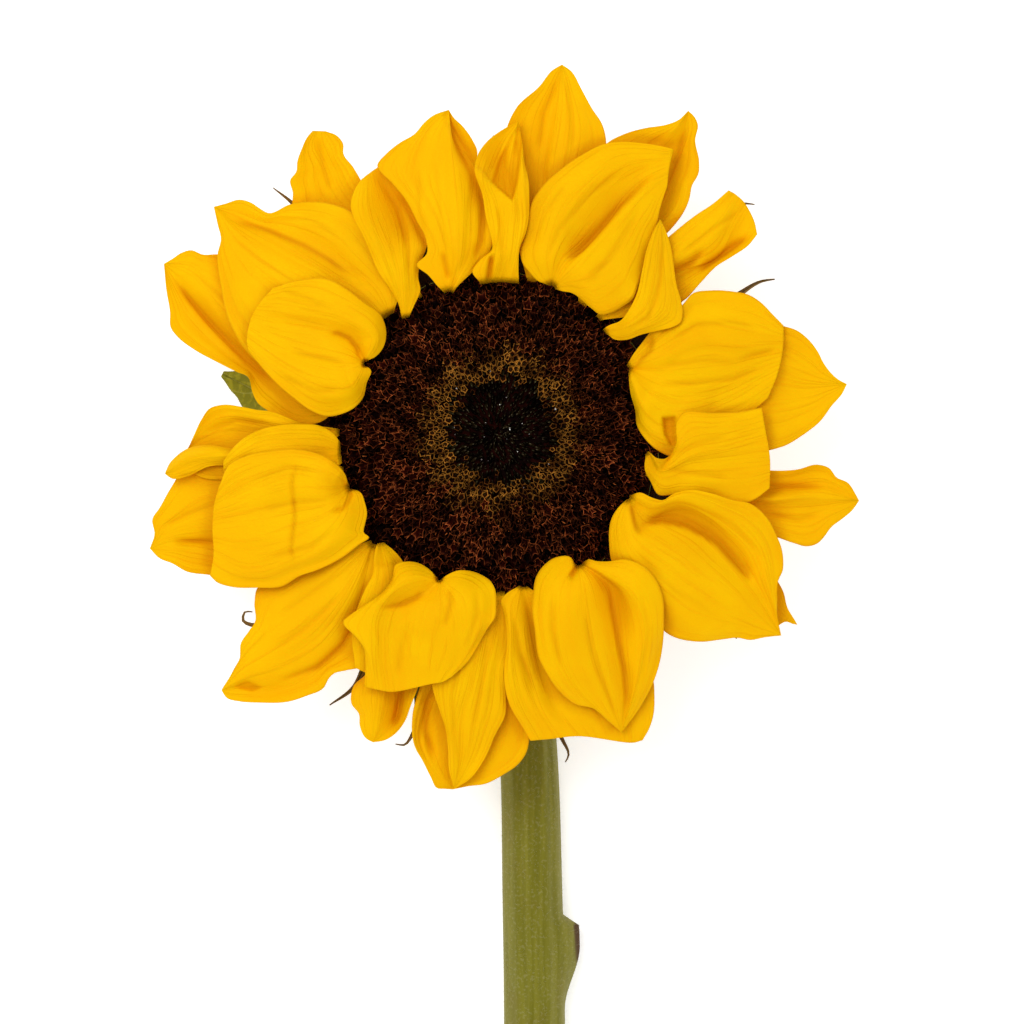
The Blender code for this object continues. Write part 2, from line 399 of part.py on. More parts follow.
        [(19.8, 19.5), (21, 20.2), (23, 21), (24.6, 23), (26, 25.8), (27, 30), (28, 34.5),
         (29.5, 38.3), (30.5, 39.9)],
        [(20.1, 19.2), (24, 19.8, 1.5), (28.5, 23, 2), (30, 29, 1.4), (30.3, 34, 0.6),
         (30.5, 39.9)],
        [(20.4, 18.9), (22, 17.6), (24, 17.5), (27, 18.5), (30.5, 19.3), (32.5, 19.8), (34.2, 20.8),
         (34.6, 22.5), (34.3, 24.8), (33.5, 27.5), (33, 31), (32.6, 34), (31.8, 37), (30.5, 39.9)],
    ]),
]

# ---- bracts --------------------------------------------------------------------------------------
# (name, direction in degrees from +X, radius of the tip, how it lies). A spreading bract runs out under the
# petals and its tip shows between them. A resting bract bends back until its tip touches the surface.
BRACTS = [
    ("bract_01", 10.0, 50.0, "spreading"),
    ("bract_02", 43.0, 64.5, "spreading"),
    ("bract_03", 66.0, 52.0, "spreading"),
    ("bract_04", 90.4, 56.0, "spreading"),
    ("bract_05", 110.0, 52.0, "spreading"),
    ("bract_06", 132.0, 61.5, "spreading"),
    ("bract_07", 155.0, 50.0, "spreading"),
    ("bract_08", 182.0, 50.0, "spreading"),
    ("bract_09", 216.5, 57.5, "spreading"),
    ("bract_10", 252.0, 60.0, "spreading"),
    ("bract_11", 282.0, 61.5, "spreading"),
    ("bract_12", 320.0, 59.0, "spreading"),
    ("bract_13", 345.0, 50.0, "spreading"),
    ("bract_14", 30.0, 59.5, "low"),
    ("bract_15", 76.0, 46.0, "resting"),
    ("bract_16", 121.0, 46.0, "resting"),
    ("bract_17", 165.0, 47.0, "low"),
    ("bract_18", 199.0, 47.0, "low"),
    ("bract_19", 238.5, 59.0, "low"),
    ("bract_20", 301.0, 46.0, "resting"),
    ("bract_21", 354.0, 46.0, "resting"),
]
# For each way of lying: the radius and height of the base, the middle's share of the way out and its
# height, the height of the tip, and the widest half-width.
BRACT_SHAPES = {
    "spreading": (30.9, 33.2, 0.45, 31.4, 30.5, 4.6),
    "low": (28.3, 28.2, 0.40, 26.6, 27.0, 5.6),
    "resting": (25.9, 25.6, 0.45, 16.0, 0.8, 5.4),
}

# ---- the leaf ------------------------------------------------------------------------------------
LEAF_SPINE = [
    (-6.5, -12.0, 10.5),
    (-14.0, -8.5, 13.5),
    (-26.0, -2.0, 14.5),
    (-40.0, 6.0, 9.5),
    (-52.3, 12.2, 0.8),
]
LEAF_HALF_WIDTHS = [1.6, 7.5, 12.5, 10.5, 0.6]
LEAF_ROWS = 12
LEAF_COLUMNS = (-1.0, -0.5, 0.0, 0.5, 1.0)  # shares of the half-width


def smoothstep(value):
    value = np.clip(value, 0.0, 1.0)
    return value * value * (3.0 - 2.0 * value)


def hermite(knots, points, slopes, at):
    """Cubic Hermite values at the given places, with the points along the first axis."""
    place = np.clip(np.searchsorted(knots, at, side="right") - 1, 0, len(knots) - 2)
    width = (knots[place + 1] - knots[place])[:, None]
    share = (at - knots[place])[:, None] / width
    cube = share**3
    square = share**2
    return (
        (2 * cube - 3 * square + 1) * points[place]
        + (cube - 2 * square + share) * width * slopes[place]
        + (3 * square - 2 * cube) * points[place + 1]
        + (cube - square) * width * slopes[place + 1]
    )


def smooth_through(points, at):
    """Points at the given shares, from 0 to 1, of the length of a smooth curve through the points."""
    points = np.array(points, float)
    steps = np.linalg.norm(np.diff(points, axis=0), axis=1)
    knots = np.concatenate([[0.0], np.cumsum(steps)])
    knots /= knots[-1]
    return hermite(knots, points, np.gradient(points, knots, axis=0), at)


def height_at(profile, radius):
    """Height of a profile of (radius, height) points at each radius."""
    radii, heights = zip(*profile)
    return np.interp(radius, radii, heights)


def loft_through(ribs, rows, columns):
    """A grid of points, rows by columns, on the smooth surface through ribs that are lists of points."""
    along = np.linspace(0.0, 1.0, rows)
    curves = np.array([smooth_through(rib, along) for rib in ribs])
    flat = curves.reshape(len(ribs), -1)
    knots = np.linspace(0.0, 1.0, len(ribs))
    across = hermite(knots, flat, np.gradient(flat, knots, axis=0), np.linspace(0.0, 1.0, columns))
    return across.reshape(columns, rows, 3).transpose(1, 0, 2)


def petal_grid(ribs, layer):
    """The petal's upper face before it is laid on the others: its arch, ridges and climb from the rim."""
    with_heights = [[point if len(point) == 3 else (*point, 0.0) for point in rib] for rib in ribs]
    grid = loft_through(with_heights, PETAL_ROWS, PETAL_COLUMNS)
    radius = np.hypot(grid[..., 0], grid[..., 1])
    arch = height_at(PETAL_CREST, radius) - LAYER_DROP[layer] + grid[..., 2]
    climb = smoothstep(np.linspace(0.0, 1.0, PETAL_ROWS) / CLAW_SHARE)[:, None]
    grid[..., 2] = CLAW_HEIGHT + (arch - CLAW_HEIGHT) * climb
    return grid


class Pile:
    """The height of what already lies in place, over a grid of cells, so that a new sheet lies on it."""

    def __init__(self):
        cells = int(2 * PILE_HALF_WIDTH / PILE_CELL)
        centres = (np.arange(cells) + 0.5) * PILE_CELL - PILE_HALF_WIDTH
        radius = np.hypot(*np.meshgrid(centres, centres, indexing="ij"))
        self.top = np.full((cells, cells), NOTHING_THERE)
        self.top[radius < CUP_RIM_RADIUS + PILE_CELL] = CUP_TOP
        disc = radius < DISC_RADIUS + PILE_CELL
        self.top[disc] = height_at(DISC_PROFILE, radius)[disc]

    def samples(self, grid):
        """Points all over the sheet, closer than the cells, with the place of each in the sheet's grid."""
        steps_down = np.linalg.norm(np.diff(grid, axis=0), axis=2)
        steps_right = np.linalg.norm(np.diff(grid, axis=1), axis=2)
        parts = math.ceil(max(steps_down.max(), steps_right.max()) / (SAMPLE_SHARE * PILE_CELL))
        rows = np.linspace(0, grid.shape[0] - 1, (grid.shape[0] - 1) * parts + 1)
        columns = np.linspace(0, grid.shape[1] - 1, (grid.shape[1] - 1) * parts + 1)
        row = np.minimum(rows.astype(int), grid.shape[0] - 2)
        column = np.minimum(columns.astype(int), grid.shape[1] - 2)
        down = (rows - row)[:, None, None]
        right = (columns - column)[None, :, None]
        near = grid[row][:, column] * (1 - down) + grid[row + 1][:, column] * down
        far = grid[row][:, column + 1] * (1 - down) + grid[row + 1][:, column + 1] * down
        return near * (1 - right) + far * right, row, column

    def cells_of(self, points):
        cell = ((points[..., :2] + PILE_HALF_WIDTH) / PILE_CELL).astype(int)
        return np.clip(cell, 1, self.top.shape[0] - 2)

    def lay(self, grid, thickness):
        """Raises the sheet just clear of what lies under it, its bends kept smooth, and adds it."""
        points, row, column = self.samples(grid)
        cell = self.cells_of(points)
        need = self.top[cell[..., 0], cell[..., 1]] + GAP + thickness - points[..., 2]
        lift = np.zeros(grid.shape[:2])
        rows, columns = np.meshgrid(row, column, indexing="ij")
        for down in (0, 1):
            for right in (0, 1):
                np.maximum.at(lift, (rows + down, columns + right), need)
        least = np.maximum(lift, 0.0)
        lift = least
        for _ in range(SMOOTHING_ROUNDS):
            padded = np.pad(lift, 1, mode="edge")
            mean = (padded[:-2, 1:-1] + padded[2:, 1:-1] + padded[1:-1, :-2] + padded[1:-1, 2:]) / 4
            lift = np.maximum(least, 0.5 * lift + 0.5 * mean)
        grid[..., 2] += lift
        if np.ptp(grid[-1, :, :2], axis=0).max() < TIP_IS_A_POINT:
            grid[-1] = grid[-1].max(axis=0)
        self.add(grid)

    def add(self, grid):
        points, _, _ = self.samples(grid)
        cell = self.cells_of(points)
        for across in (-1, 0, 1):
            for along in (-1, 0, 1):
                np.maximum.at(self.top, (cell[..., 0] + across, cell[..., 1] + along), points[..., 2])


def material_for(name, colour, roughness):
    material = bpy.data.materials.new(name)
    material.use_nodes = True
    shader = material.node_tree.nodes["Principled BSDF"]
    shader.inputs["Base Color"].default_value = (*colour, 1.0)
    shader.inputs["Roughness"].default_value = roughness
    shader.inputs["Metallic"].default_value = 0.0
    return material


def add_object(name, mesh, colour, roughness, collection, root):
    mesh.materials.append(material_for(name + "_finish", colour, roughness))
    mesh.shade_smooth()
    part = bpy.data.objects.new(name, mesh)
    part.parent = root
    collection.objects.link(part)
    return part


def sheet_mesh(name, grid, thickness):
    """A closed sheet: the grid is its upper face, and its lower face lies the thickness straight below."""
    rows, columns, _ = grid.shape
    mesh = bmesh.new()
    layers = []
    for drop in (0.0, thickness):
        lowered = (grid - (0.0, 0.0, drop)) * MM
        layers.append([[mesh.verts.new(place) for place in row] for row in lowered])
    upper, lower = layers
    for i in range(rows - 1):
        for j in range(columns - 1):
            mesh.faces.new((upper[i][j], upper[i][j + 1], upper[i + 1][j + 1], upper[i + 1][j]))
            mesh.faces.new((lower[i][j], lower[i + 1][j], lower[i + 1][j + 1], lower[i][j + 1]))
    for i in range(rows - 1):
        mesh.faces.new((upper[i][0], upper[i + 1][0], lower[i + 1][0], lower[i][0]))
        mesh.faces.new((upper[i][-1], lower[i][-1], lower[i + 1][-1], upper[i + 1][-1]))
    for j in range(columns - 1):
        mesh.faces.new((upper[0][j], lower[0][j], lower[0][j + 1], upper[0][j + 1]))
        mesh.faces.new((upper[-1][j], upper[-1][j + 1], lower[-1][j + 1], lower[-1][j]))
    bmesh.ops.remove_doubles(mesh, verts=mesh.verts, dist=MERGE_DISTANCE)
    result = bpy.data.meshes.new(name)
    mesh.to_mesh(result)
    mesh.free()
    return result


def turned_mesh(name, outline, steps=TURN_STEPS):
    """A closed solid turned about +Z from an outline of (radius, height) points.

    The outline starts and ends on the axis, or is closed and never meets it.
    """
    ring = outline[0][0] > 0
    mesh = bmesh.new()
    verts = [mesh.verts.new((radius * MM, 0.0, height * MM)) for radius, height in outline]
    edges = [mesh.edges.new(pair) for pair in zip(verts, verts[1:])]
    if ring:
        edges.append(mesh.edges.new((verts[-1], verts[0])))
    bmesh.ops.spin(
        mesh,
        geom=verts + edges,
        cent=(0, 0, 0),
        axis=(0, 0, 1),
        angle=2 * math.pi,
        steps=steps,
        use_merge=True,
    )
    bmesh.ops.remove_doubles(mesh, verts=mesh.verts, dist=MERGE_DISTANCE)
    bmesh.ops.recalc_face_normals(mesh, faces=mesh.faces)
    result = bpy.data.meshes.new(name)
    mesh.to_mesh(result)
    mesh.free()
    return result


def disc_ring(inner, outer):
    """Outline of one ring of the disc, from the inner to the outer radius, on top of the cup."""
    floor = CUP_TOP + GAP
    radii = [inner, *[r for r, _ in DISC_PROFILE if inner < r < outer], outer]
    top = [(r, float(height_at(DISC_PROFILE, r))) for r in radii]
    return [*top, (outer, floor), (inner, floor)]


def stem_radius(place, angle, base):
    """The stem's radius at a place (x, y, z) and an angle round it, with the stripped leaves' scars."""
    radius = base
    for y, direction, height in LEAF_SCARS:
        above = place[1] - y
        shoulder = smoothstep((SCAR_TOP - above) / SCAR_SHOULDER)
        taper = smoothstep((above - SCAR_FOOT) / SCAR_TAPER)
        along = shoulder * taper
        turn = (angle - math.radians(direction) + math.pi) % (2 * math.pi) - math.pi
        radius = radius + height * along * math.exp(-((turn / SCAR_HALF_ANGLE) ** 2))
    return radius


def stem_mesh(name):
    """The stem as a loft of rings along its path, closed at the neck and at the cut end."""
    along = np.linspace(0.0, 1.0, STEM_RINGS) ** STEM_RING_CROWDING
    path = smooth_through(STEM_PATH, along)
    radii = height_at([(-y, r) for (_, y, _), r in zip(STEM_PATH, STEM_RADII)], -path[:, 1])
    mesh = bmesh.new()
    rings = []
    side = np.array([1.0, 0.0, 0.0])
    for index, (centre, base) in enumerate(zip(path, radii)):
        before, after = path[max(index - 1, 0)], path[min(index + 1, STEM_RINGS - 1)]
        heading = (after - before) / np.linalg.norm(after - before)
        across = side - heading * side.dot(heading)
        across /= np.linalg.norm(across)
        up = np.cross(across, heading)
        ring = []
        for step in range(STEM_SIDES):
            angle = 2 * math.pi * step / STEM_SIDES
            reach = stem_radius(centre, angle, base)
            point = centre + reach * (math.cos(angle) * across + math.sin(angle) * up)
            point[2] = min(max(point[2], 0.0), NECK_TOP)
            ring.append(mesh.verts.new(point * MM))
        rings.append(ring)
    for near, far in zip(rings, rings[1:]):
        for step in range(STEM_SIDES):
            after = (step + 1) % STEM_SIDES
            mesh.faces.new((near[step], near[after], far[after], far[step]))
    mesh.faces.new(rings[0])
    mesh.faces.new(rings[-1])
    bmesh.ops.recalc_face_normals(mesh, faces=mesh.faces)
    result = bpy.data.meshes.new(name)
    mesh.to_mesh(result)
    mesh.free()
    return result


def bract_grid(direction, tip_radius, lie):
    """A bract: broad at its base on the cup, drawn out to a long thin tip, its edges turned up a little."""
    base_radius, base_height, mid_share, mid_height, tip_height, half_width = BRACT_SHAPES[lie]
    mid_radius = base_radius + (tip_radius - base_radius) * mid_share
    spine = [
        (base_radius, base_height),
        ((base_radius + mid_radius) / 2, (base_height + mid_height) / 2 + BRACT_BULGE),
        (mid_radius, mid_height),
        ((mid_radius + tip_radius) / 2, (mid_height + tip_height) / 2),
        (tip_radius, tip_height),
    ]
    along = np.linspace(0.0, 1.0, BRACT_ROWS)
    spine = smooth_through(spine, along)
    widths = np.interp(along, BRACT_SHARES, BRACT_WIDTHS) * half_width
    turn = math.radians(direction)
    outward = np.array([math.cos(turn), math.sin(turn)])
    sideways = np.array([-math.sin(turn), math.cos(turn)])
    grid = np.zeros((BRACT_ROWS, 3, 3))
    for row, ((radius, height), width) in enumerate(zip(spine, widths)):
        for column, share in enumerate((1.0, 0.0, -1.0)):
            grid[row, column, :2] = radius * outward + width * share * sideways
            grid[row, column, 2] = height + BRACT_CUPPING * width * abs(share)
    return grid


def leaf_grid():
    """The upper leaf, from its stalk at the neck, out to the left under the head, down to its tip."""
    along = np.linspace(0.0, 1.0, LEAF_ROWS)
    spine = smooth_through(LEAF_SPINE, along)
    widths = np.interp(along, np.linspace(0.0, 1.0, len(LEAF_HALF_WIDTHS)), LEAF_HALF_WIDTHS)
    heading = np.gradient(spine[:, :2], axis=0)
    heading /= np.linalg.norm(heading, axis=1)[:, None]
    grid = np.zeros((LEAF_ROWS, len(LEAF_COLUMNS), 3))
    for column, share in enumerate(LEAF_COLUMNS):
        grid[:, column, 0] = spine[:, 0] + heading[:, 1] * widths * share
        grid[:, column, 1] = spine[:, 1] - heading[:, 0] * widths * share
        drooping = spine[:, 2] - LEAF_DROOP * widths * abs(share)
        grid[:, column, 2] = np.maximum(drooping, LEAF_THICKNESS + LEAF_CLEARANCE)
    return grid


def main():
    for old in list(bpy.data.objects):
        bpy.data.objects.remove(old)
    collection = bpy.data.collections.new(NAME)
    bpy.context.scene.collection.children.link(collection)
    root = bpy.data.objects.new(NAME + "_root", None)
    collection.objects.link(root)
    pile = Pile()
    parts = []

    def add(name, mesh, colour, roughness):
        parts.append(add_object(name, mesh, colour, roughness, collection, root))

    add("stem", stem_mesh("stem"), STEM_GREEN, 0.6)
    cup = [(0.0, CUP_TOP), *CUP_PROFILE, (0.0, CUP_PROFILE[-1][1])]
    add("receptacle", turned_mesh("receptacle", cup), BRACT_GREEN, 0.6)
    buds = disc_ring(0.0, BUDS_RADIUS)
    add("disc_buds", turned_mesh("disc_buds", buds), BUD_GREEN, 0.55)
    inner = disc_ring(BUDS_RADIUS + GAP, INNER_FLORETS_RADIUS)
    add("disc_inner_florets", turned_mesh("disc_inner_florets", inner), RING_GOLD, 0.6)
    outer = disc_ring(INNER_FLORETS_RADIUS + GAP, DISC_RADIUS)
    add("disc_outer_florets", turned_mesh("disc_outer_florets", outer), DISC_BROWN, 0.6)

    add("leaf_upper", sheet_mesh("leaf_upper", leaf_grid(), LEAF_THICKNESS), LEAF_GREEN, 0.5)
    for name, direction, tip_radius, lie in BRACTS:
        grid = bract_grid(direction, tip_radius, lie)
        pile.add(grid)
        add(name, sheet_mesh(name, grid, BRACT_THICKNESS), BRACT_GREEN, 0.6)
    for name, layer, ribs in PETALS:
        grid = petal_grid(ribs, layer)
        pile.lay(grid, PETAL_THICKNESS)
        add(name, sheet_mesh(name, grid, PETAL_THICKNESS), PETAL_YELLOW, 0.45)

    # The origin of the whole is under the middle of its box, on the surface it lies on.
    corners = np.array([vertex.co for part in parts for vertex in part.data.vertices])
    lowest, highest = corners.min(axis=0), corners.max(axis=0)
    root.location = (-(lowest[0] + highest[0]) / 2, -(lowest[1] + highest[1]) / 2, -lowest[2])


main()
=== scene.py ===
"""Looks of the cut sunflower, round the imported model: petals, florets, bracts, leaf and stem in detail.

The flower lies on its back and the camera looks straight down on it. Lengths in the tables are
millimetres from the middle of the disc: +X to the right, +Y away from the stem, +Z up. The petals' ribs
repeat the model's.
"""

import math

import bpy
import numpy as np
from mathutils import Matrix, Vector


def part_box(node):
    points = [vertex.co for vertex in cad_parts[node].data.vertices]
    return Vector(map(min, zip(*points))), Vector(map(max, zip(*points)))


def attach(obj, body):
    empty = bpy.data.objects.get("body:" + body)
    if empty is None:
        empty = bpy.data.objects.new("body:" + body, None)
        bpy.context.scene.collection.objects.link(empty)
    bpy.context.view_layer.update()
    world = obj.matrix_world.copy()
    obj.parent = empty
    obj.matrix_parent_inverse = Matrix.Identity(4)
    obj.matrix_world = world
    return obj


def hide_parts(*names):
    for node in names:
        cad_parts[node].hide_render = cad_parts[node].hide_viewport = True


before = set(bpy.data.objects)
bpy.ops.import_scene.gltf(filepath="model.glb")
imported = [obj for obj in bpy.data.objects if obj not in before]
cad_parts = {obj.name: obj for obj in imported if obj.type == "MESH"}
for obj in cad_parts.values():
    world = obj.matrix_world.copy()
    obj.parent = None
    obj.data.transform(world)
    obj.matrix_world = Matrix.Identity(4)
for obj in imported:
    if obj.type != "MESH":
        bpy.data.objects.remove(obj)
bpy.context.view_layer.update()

MM = 0.001
BODY = "root"

# ---- driving dimensions, in millimetres, as in the model -----------------------------------------
GAP = 0.2  # clear space between sheets that touch in life
DISC_RADIUS = 27.0
DISC_PROFILE = [(0, 44.0), (8, 44.6), (14, 45.0), (20, 44.2), (24, 42.2), (DISC_RADIUS, 38.2)]
BUDS_RADIUS = 11.0
INNER_FLORETS_RADIUS = 17.0
CUP_TOP = 36.5
CUP_RIM_RADIUS = 30.3
CUP_PROFILE = [
    (CUP_RIM_RADIUS, CUP_TOP),
    (CUP_RIM_RADIUS + 0.3, 34.5),
    (29.6, 31.5),
    (26.5, 27.0),
    (20.0, 22.5),
    (12.0, 19.9),
    (6.9, 18.2),
]
NECK_TOP = 17.85
STEM_PATH = [
    (0.0, 0.0, NECK_TOP),
    (0.1, -1.3, 13.1),
    (0.6, -4.7, 9.7),
    (1.6, -11.0, 7.6),
    (3.2, -26.0, 6.2),
    (4.8, -42.0, 5.5),
    (6.3, -61.0, 5.4),
    (7.0, -87.0, 5.6),
    (7.4, -112.0, 5.7),
    (6.4, -165.0, 5.9),
    (7.6, -215.0, 6.1),
    (10.8, -261.0, 6.3),
]
STEM_RADII = [6.4, 6.1, 5.8, 5.6, 5.4, 5.3, 5.4, 5.6, 5.7, 5.9, 6.1, 6.3]
LEAF_SCARS = [(-95.0, 12.0, 3.2), (-163.0, 150.0, 2.6), (-236.0, 35.0, 2.8)]
SCAR_HALF_ANGLE = 0.62
SCAR_TOP = 4.2
SCAR_SHOULDER = 2.5
SCAR_FOOT = -14.0
SCAR_TAPER = 12.0

PETAL_CREST = [(24, 43.0), (28, 44.0), (34, 44.5), (45, 42.5), (56, 40.0), (70, 36.5)]
LAYER_DROP = {"back": 4.0, "middle": 2.0, "front": 0.0}

# ---- fineness of the meshes ----------------------------------------------------------------------
PETAL_ROWS = 80
PETAL_COLUMNS = 65
PETAL_THICKNESS = 0.28
CLAW_HEIGHT = CUP_TOP + GAP + PETAL_THICKNESS
DRAPE_REACH = (6, 7)  # rows and columns over which a petal bends round what lies under it
BRACT_ROWS = 40
BRACT_COLUMNS = 9
BRACT_THICKNESS = 0.35
LEAF_ROWS = 60
LEAF_COLUMNS = 41
LEAF_THICKNESS = 0.35
CUP_ROWS = 40
CUP_SIDES = 160
BED_ROWS = 12
BED_SIDES = 96
STEM_RINGS = 260
STEM_RING_CROWDING = 1.25
STEM_SIDES = 64
AXIS_RADIUS = 0.05  # how near its axis a turned solid is closed
TINY = 1e-6
PILE_CELL = 0.5
PILE_HALF_WIDTH = 76.0
SAMPLE_SHARE = 0.8  # the widest gap between a sheet's samples, as a share of a cell
NOTHING_THERE = -100.0

# ---- how petals bend and fold, and the shade painted on them -------------------------------------
CLAW_SHARE = 0.025  # the share of its length in which a petal climbs from the cup's rim
BODY_RISE = 0.2  # shares of the length over which pleats come up at the claw and die away at the tip
BODY_FALL = 0.15
PLEATS = range(3, 13)
PLEAT_HEIGHT = 0.013  # a pleat's height as a share of its spacing
PLEAT_LEAST = 1.3  # pleats closer together than this fade away
PLEAT_DRIFT = 0.05
PLEAT_TURNS = 1.1
RIM_TURNS = (2.3, 4.1)  # how many times a petal's rim waves along its length
RIM_WAVE = 0.25
RIM_SAG = 0.6
RIM_SHARPNESS = 6
STEP_WIDTH = 0.7
SHADE_LINE_WIDTH = 0.42
CREASE_FADE = 0.2  # shares of a line over which it comes up at its start and dies away at its end
LEDGE_FADE = 0.15
SHADE_LINE_FADE = 0.3
LEDGE_SHADE_LINE_FADE = 0.2
# From here to the end of this block: the shade painted on the petals, darker and more orange along fold
# lines, on ledges' low sides, in hollows and beside higher sheets.
CREASE_SHADE_DARKEST = 1.0
LEDGE_SHADE_DARKEST = 1.4
LOW_SIDE_SHADE = 0.55
PAINTED_SHADE_DARKEST = 1.6
SHADE_DISTANCES = (1.2, 2.4, 4.0)
SHADE_TURNS = 12
SHADE_CLEARANCE = 0.35
SHADE_STEEPEST = 1.2
SHADE_FROM = 0.22
SHADE_RANGE = 0.5
HOLLOW_REACH = (3, 4)
HOLLOW_DEPTH = 0.9
HOLLOW_SHADE = 0.8
UNSHADED_SHARE = 0.2  # the claw end, where the disc beside it casts no fold's shade
GOLDEN_ANGLE = math.pi * (3.0 - math.sqrt(5.0))

